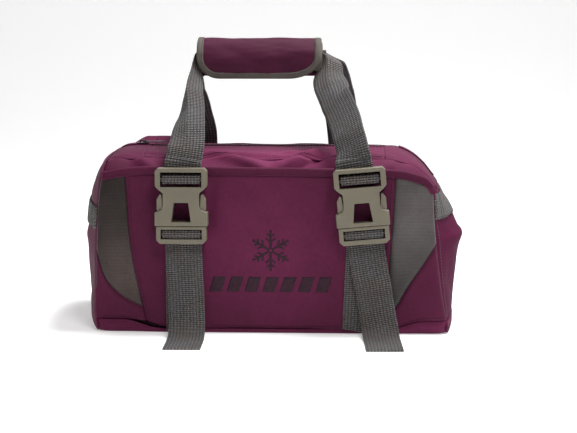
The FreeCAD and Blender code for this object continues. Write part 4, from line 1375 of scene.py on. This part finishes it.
def pad_shell(name, low, high, first, last, inner, thick, bevel, corner=0.0, folds=0.0):
    """A closed C-shaped pad round the handle; corner rounds off its two lower corners."""
    count, section = 48, 30
    rings = []
    for i in range(count + 1):
        degrees = mix(first, last, i / count)
        from_end = math.radians(last - degrees) * (inner + thick)
        cut = 0.0
        if corner and from_end < corner:
            cut = corner - math.sqrt(max(0.0, corner**2 - (corner - from_end) ** 2))
        a, b = low + cut, high - cut * CORNER_STRETCH
        edge = min(i, count - i) / 2.5
        body = thick * (0.45 + 0.55 * math.sqrt(1 - (1 - clamp(edge)) ** 2))
        ring = []
        for k in range(2 * section):
            top = k < section
            share = (k if top else 2 * section - 1 - k) / (section - 1)
            x = mix(a, b, share)
            near = clamp(min(x - a, b - x) / bevel)
            full = 0.4 + 0.6 * math.sqrt(1 - (1 - near) ** 2)
            radius = inner + thick / 2 + (body * full / 2 if top else -body * full / 2)
            if top:
                spot = (0.22 * x, math.radians(degrees) * inner, 0)
                radius += folds * near * (rumple(spot, 7, 2.0) + 0.5 * rumple(spot, 3.5, 5.0))
            ring.append(round_wrap(x, radius, degrees))
        rings.append(ring)
    obj = new_object(name, *ringed(rings))
    flip_faces(obj)
    return obj


def handle_wrap(plum, edging, webbing, pile, yarn):
    """The padded sleeve round the handle, the flap closed over it and what holds them together."""
    sleeve = pad_shell("handle_wrap", WRAP_LEFT + 0.5, WRAP_RIGHT - 0.5, first=-96, last=222, inner=12.6,
                       thick=5.2, bevel=4.0)
    stuffed(sleeve, voxel=2.0, pressure=3.0, most=1.6)
    wrap_uvs(sleeve)
    stand_in(sleeve, "handle", "plum_fabric", plum)

    flap = pad_shell("wrap_flap", WRAP_LEFT + 1.5, WRAP_RIGHT - 1.5, first=92, last=FLAP_END - 2, inner=19.6,
                     thick=3.2, bevel=7.0, corner=EDGE_CORNER, folds=1.2)
    stuffed(flap, voxel=1.6, pressure=2.5, most=1.1)
    wrap_uvs(flap)
    stand_in(flap, "wrap_cover", "plum_fabric", plum)
    wrap_edging(edging, yarn)
    wrap_hinge(plum)

    for name, body, radius, first, last in (("loop_strip", "handle", 18.9, 178, 214),
                                            ("hook_strip", "wrap_cover", 19.7, 180, 213)):
        def tape(j, i):
            return round_wrap(mix(-69, 33, i / 40), radius, mix(first, last, j / 12)), (2.5 * i, j)
        strip = cloth(name, *woven(13, 41, tape), 0.9, outward=True)
        stand_in(strip, body, "hook_loop", pile)

    for name, y in (("grip_webbing_front", -2.4), ("grip_webbing_rear", 2.4)):
        def grip(j, i):
            deep = y + math.copysign(0.9, y) + 0.3 * rumple((i, j, y), 9)
            spot = Vector((mix(-88.5, 52.5, i / 60), deep, WRAP_UP - 10 + 20 * j / 8))
            return spot, (20 * j / 8, 2.35 * i)
        band = cloth(name, *woven(9, 61, grip), WEB_THICK, flip=y > 0)
        stand_in(band, "handle", "webbing", webbing)


def wrap_hinge(plum):
    """The cloth that joins the flap to the sleeve: it bends along the top of the handle."""
    def point(j, i):
        degrees = mix(62, 112, j / 24)
        radius = through([(62, 18.6), (76, 19.6), (90, 20.9), (112, 21.2)], degrees)
        spot = round_wrap(mix(WRAP_LEFT + 4, WRAP_RIGHT - 4, i / 50), radius, degrees)
        return spot, (2.5 * i, math.radians(degrees) * radius)
    strip = cloth("wrap_hinge", *woven(25, 51, point), 0.9, outward=True)
    dress(strip, None, "plum_fabric", plum)
    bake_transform(strip)


def edge_path():
    """The flap's border: down its left edge, along its lower edge and up the right one."""
    down = math.degrees(EDGE_CORNER / 22.8)
    last = FLAP_END
    low, high = WRAP_LEFT + 1.0, WRAP_RIGHT - 1.0
    left = [(low, degrees) for degrees in range(84, int(last - down), 4)]
    for k in range(12):
        turn = math.radians(90 * k / 12)
        left.append((low + EDGE_CORNER * (1 - math.cos(turn)), last - down * (1 - math.sin(turn))))
    foot = [(mix(low + EDGE_CORNER, high - EDGE_CORNER * CORNER_STRETCH, k / 16), last) for k in range(17)]
    return left + foot + [(high - (x - low) * CORNER_STRETCH, degrees) for x, degrees in reversed(left)]


def wrap_edging(edging, yarn):
    """Bias tape folded over the flap's border: a face outside and inside, and a round edge between."""
    border = []
    for x, degrees in edge_path():
        sag = 0.5 * rumple((x, degrees, 0), 26, 3.0)
        border.append(round_wrap(x, 21.6 + sag, degrees))
    border = evened(border, 200)
    profile = [(5.8, 0.9), (5.6, 1.75), (3.0, 2.25), (0.6, 2.35), (-1.0, 1.6), (-1.6, 0.0), (-1.0, -1.6),
               (0.6, -2.3), (3.0, -2.1), (5.4, -1.7), (5.6, -0.8)]
    rows, uvs, seam, outs = [], [], [], []
    for i, spot in enumerate(border):
        run = run_at(border, i)
        out = Vector((0, spot.y, max(spot.z - WRAP_UP, -6.0))).normalized()
        out = (out - run * out.dot(run)).normalized()
        inward = out.cross(run)
        wave = 0.25 * rumple((i, 0, 0), 7, 6.0)
        rows.append([spot + inward * a * (1 + 0.08 * wave) + out * (b + (wave if b > 0 else 0))
                     for a, b in profile])
        uvs.append([(a + (b < 0) * 12, i * 1.7) for a, b in profile])
        seam.append(spot + inward * 4.6 + out * 2.15)
        outs.append(out)
    tape = cloth("wrap_binding", rows, uvs, 0.6, outward=True)
    stand_in(tape, "wrap_cover", "binding", edging)
    sew("wrap_stitching", [(seam[1:-1], outs[1:-1])], "wrap_cover", "binding", yarn, pitch=3.0, length=2.1)

    # The tape over the sleeve's ends: (distance out along the handle, radius).
    section = [(-5.4, 18.5), (-5.0, 19.1), (-2.0, 19.3), (0.5, 18.6), (1.3, 16.8), (1.3, 14.0), (0.5, 12.0),
               (-2.0, 11.6), (-4.6, 12.0)]
    for end, sign, x in (("left", -1, WRAP_LEFT + 0.4), ("right", 1, WRAP_RIGHT - 0.4)):
        def point(i, k):
            a, radius = sign * section[k][0], section[k][1]
            spot = round_wrap(x + a, radius + 0.3 * rumple((i, 0, 0), 8, x), mix(-94, 220, i / 90))
            return spot, (a + radius, i * 1.1)
        ring = cloth(f"sleeve_edging_{end}", *woven(91, len(section), point), 0.6, outward=True)
        dress(ring, "handle", "binding", edging)


# ---------------------------------------------------------------- hard parts and print
def finish_hard_parts(shell, metal, board):
    """Gives the CAD's own moulded and metal parts their materials."""
    looks = {"zipper_slider": metal, "zipper_pull": metal, "base_board": board}
    for name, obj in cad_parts.items():
        material = shell if "buckle" in name else looks.get(name)
        if material:
            obj.data.materials.clear()
            obj.data.materials.append(material)


def ink_patch(corners, across, along):
    """A patch of print on the pocket between four (x, z) corners, in order round it."""
    a, b, c, d = (Vector(p) for p in corners)
    rows = []
    for j in range(along + 1):
        low, high = a.lerp(d, j / along), b.lerp(c, j / along)
        rows.append([pocket_point(*low.lerp(high, i / across), INK_LIFT) for i in range(across + 1)])
    return grid(rows)[:2]


def print_on_pocket(ink):
    """A plain row of slanted bars, with a six-armed snow crystal above it."""
    parts = []
    low, high, slant = 44.5, 60.5, 5.0
    first, pitch, wide = -68.0, 18.6, 13.0
    for k in range(7):
        x = first + pitch * k
        parts.append(ink_patch([(x, low), (x + wide, low), (x + wide + slant, high), (x + slant, high)], 8, 8))

    def bar(start, end, wide):
        run = (end - start).normalized()
        side = Vector((-run.y, run.x)) * wide / 2
        parts.append(ink_patch([start - side, start + side, end + side, end - side], 2, 10))

    heart = Vector((-3.0, 88.5))
    for k in range(6):
        turn = math.radians(90 + 60 * k)
        arm = Vector((math.cos(turn), math.sin(turn)))
        bar(heart + arm * 1.5, heart + arm * 21.5, 2.4)
        for at, long in ((9.0, 6.5), (14.5, 5.0)):
            for way in (-1, 1):
                aim = turn + way * math.radians(52)
                twig = Vector((math.cos(aim), math.sin(aim)))
                bar(heart + arm * at, heart + arm * at + twig * long, 1.9)
    patch = merged("pocket_print", parts)
    thicken(patch, 0.1)
    dress(patch, "bag", "plum_fabric", ink)


# ---------------------------------------------------------------- the whole bag
def build():
    """All the materials and all the pieces."""
    plum = plain_weave("plum cloth", PLUM)
    # The right-hand end's cloth is a darker copy of the plum cloth: painted shade.
    painted_shading = plain_weave("shaded end cloth", shade(PLUM, 0.75), sheen=0.0, shine=0.02)
    # The handle wrap's cloth is a much darker copy of the plum cloth: painted shade.
    shaded_wrap = plain_weave("shaded wrap cloth", shade(PLUM, 0.5), shine=0.12)
    # These cloths carry painted light: a painted highlight round a patch and painted shade beyond it, given as
    # (a patch's centre and size in metres, its tone, the tone beyond it). The left grey cloth is also a darker
    # copy of the grey: painted shade.
    greys = {"left": ribbed_cloth("left grey cloth", (0.030, 0.022, 0.020),
                                  ((-0.142, -0.1, 0.062), 0.062, 2.4, 0.85), shine=0.2),
             "right": ribbed_cloth("right grey cloth", GREY, ((0.150, -0.1, 0.138), 0.07, 1.15, 0.66))}
    pocket = plain_weave("pocket cloth", PLUM, falloff=((-0.02, -0.1, 0.1), 0.115, 1.1, 0.74))
    roof = plain_weave("roof cloth", PLUM, falloff=((0.012, -0.08, 0.185), 0.17, 1.38, 0.8))
    webbing = webbing_cloth("webbing", WEBBING)
    yarn = thread("plum thread", shade(PLUM, 0.5))
    pale_yarn = thread("grey thread", shade(WEBBING, 0.7))
    edging = plain_weave("edging", BINDING, pitch=0.0009, sheen=0.05)
    outer_pocket(pocket, greys, yarn)
    body_walls(roof, plum)
    roof_pieces(roof, plain_weave("zip tape", shade(PLUM, 0.75), pitch=0.0008), yarn)
    zipper_coils(moulded("zip nylon", shade(PLUM, 0.6)))
    end_panel(-1, "left", plum, webbing, pale_yarn)
    # The right-hand end wears the darker copy of the plum cloth, as painted shade.
    end_panel(1, "right", painted_shading, webbing, pale_yarn)
    base_panel(plum)
    straps(webbing, pale_yarn)
    handle_wrap(shaded_wrap, edging, webbing, fuzzy("hook and loop", (0.02, 0.018, 0.02)), pale_yarn)
    finish_hard_parts(moulded("buckle plastic", TAUPE), painted_metal("slider paint", (0.05, 0.03, 0.04)),
                      moulded("board", (0.05, 0.045, 0.045)))
    print_on_pocket(print_ink("print", (0.030, 0.012, 0.020)))


camera_and_light()
build()
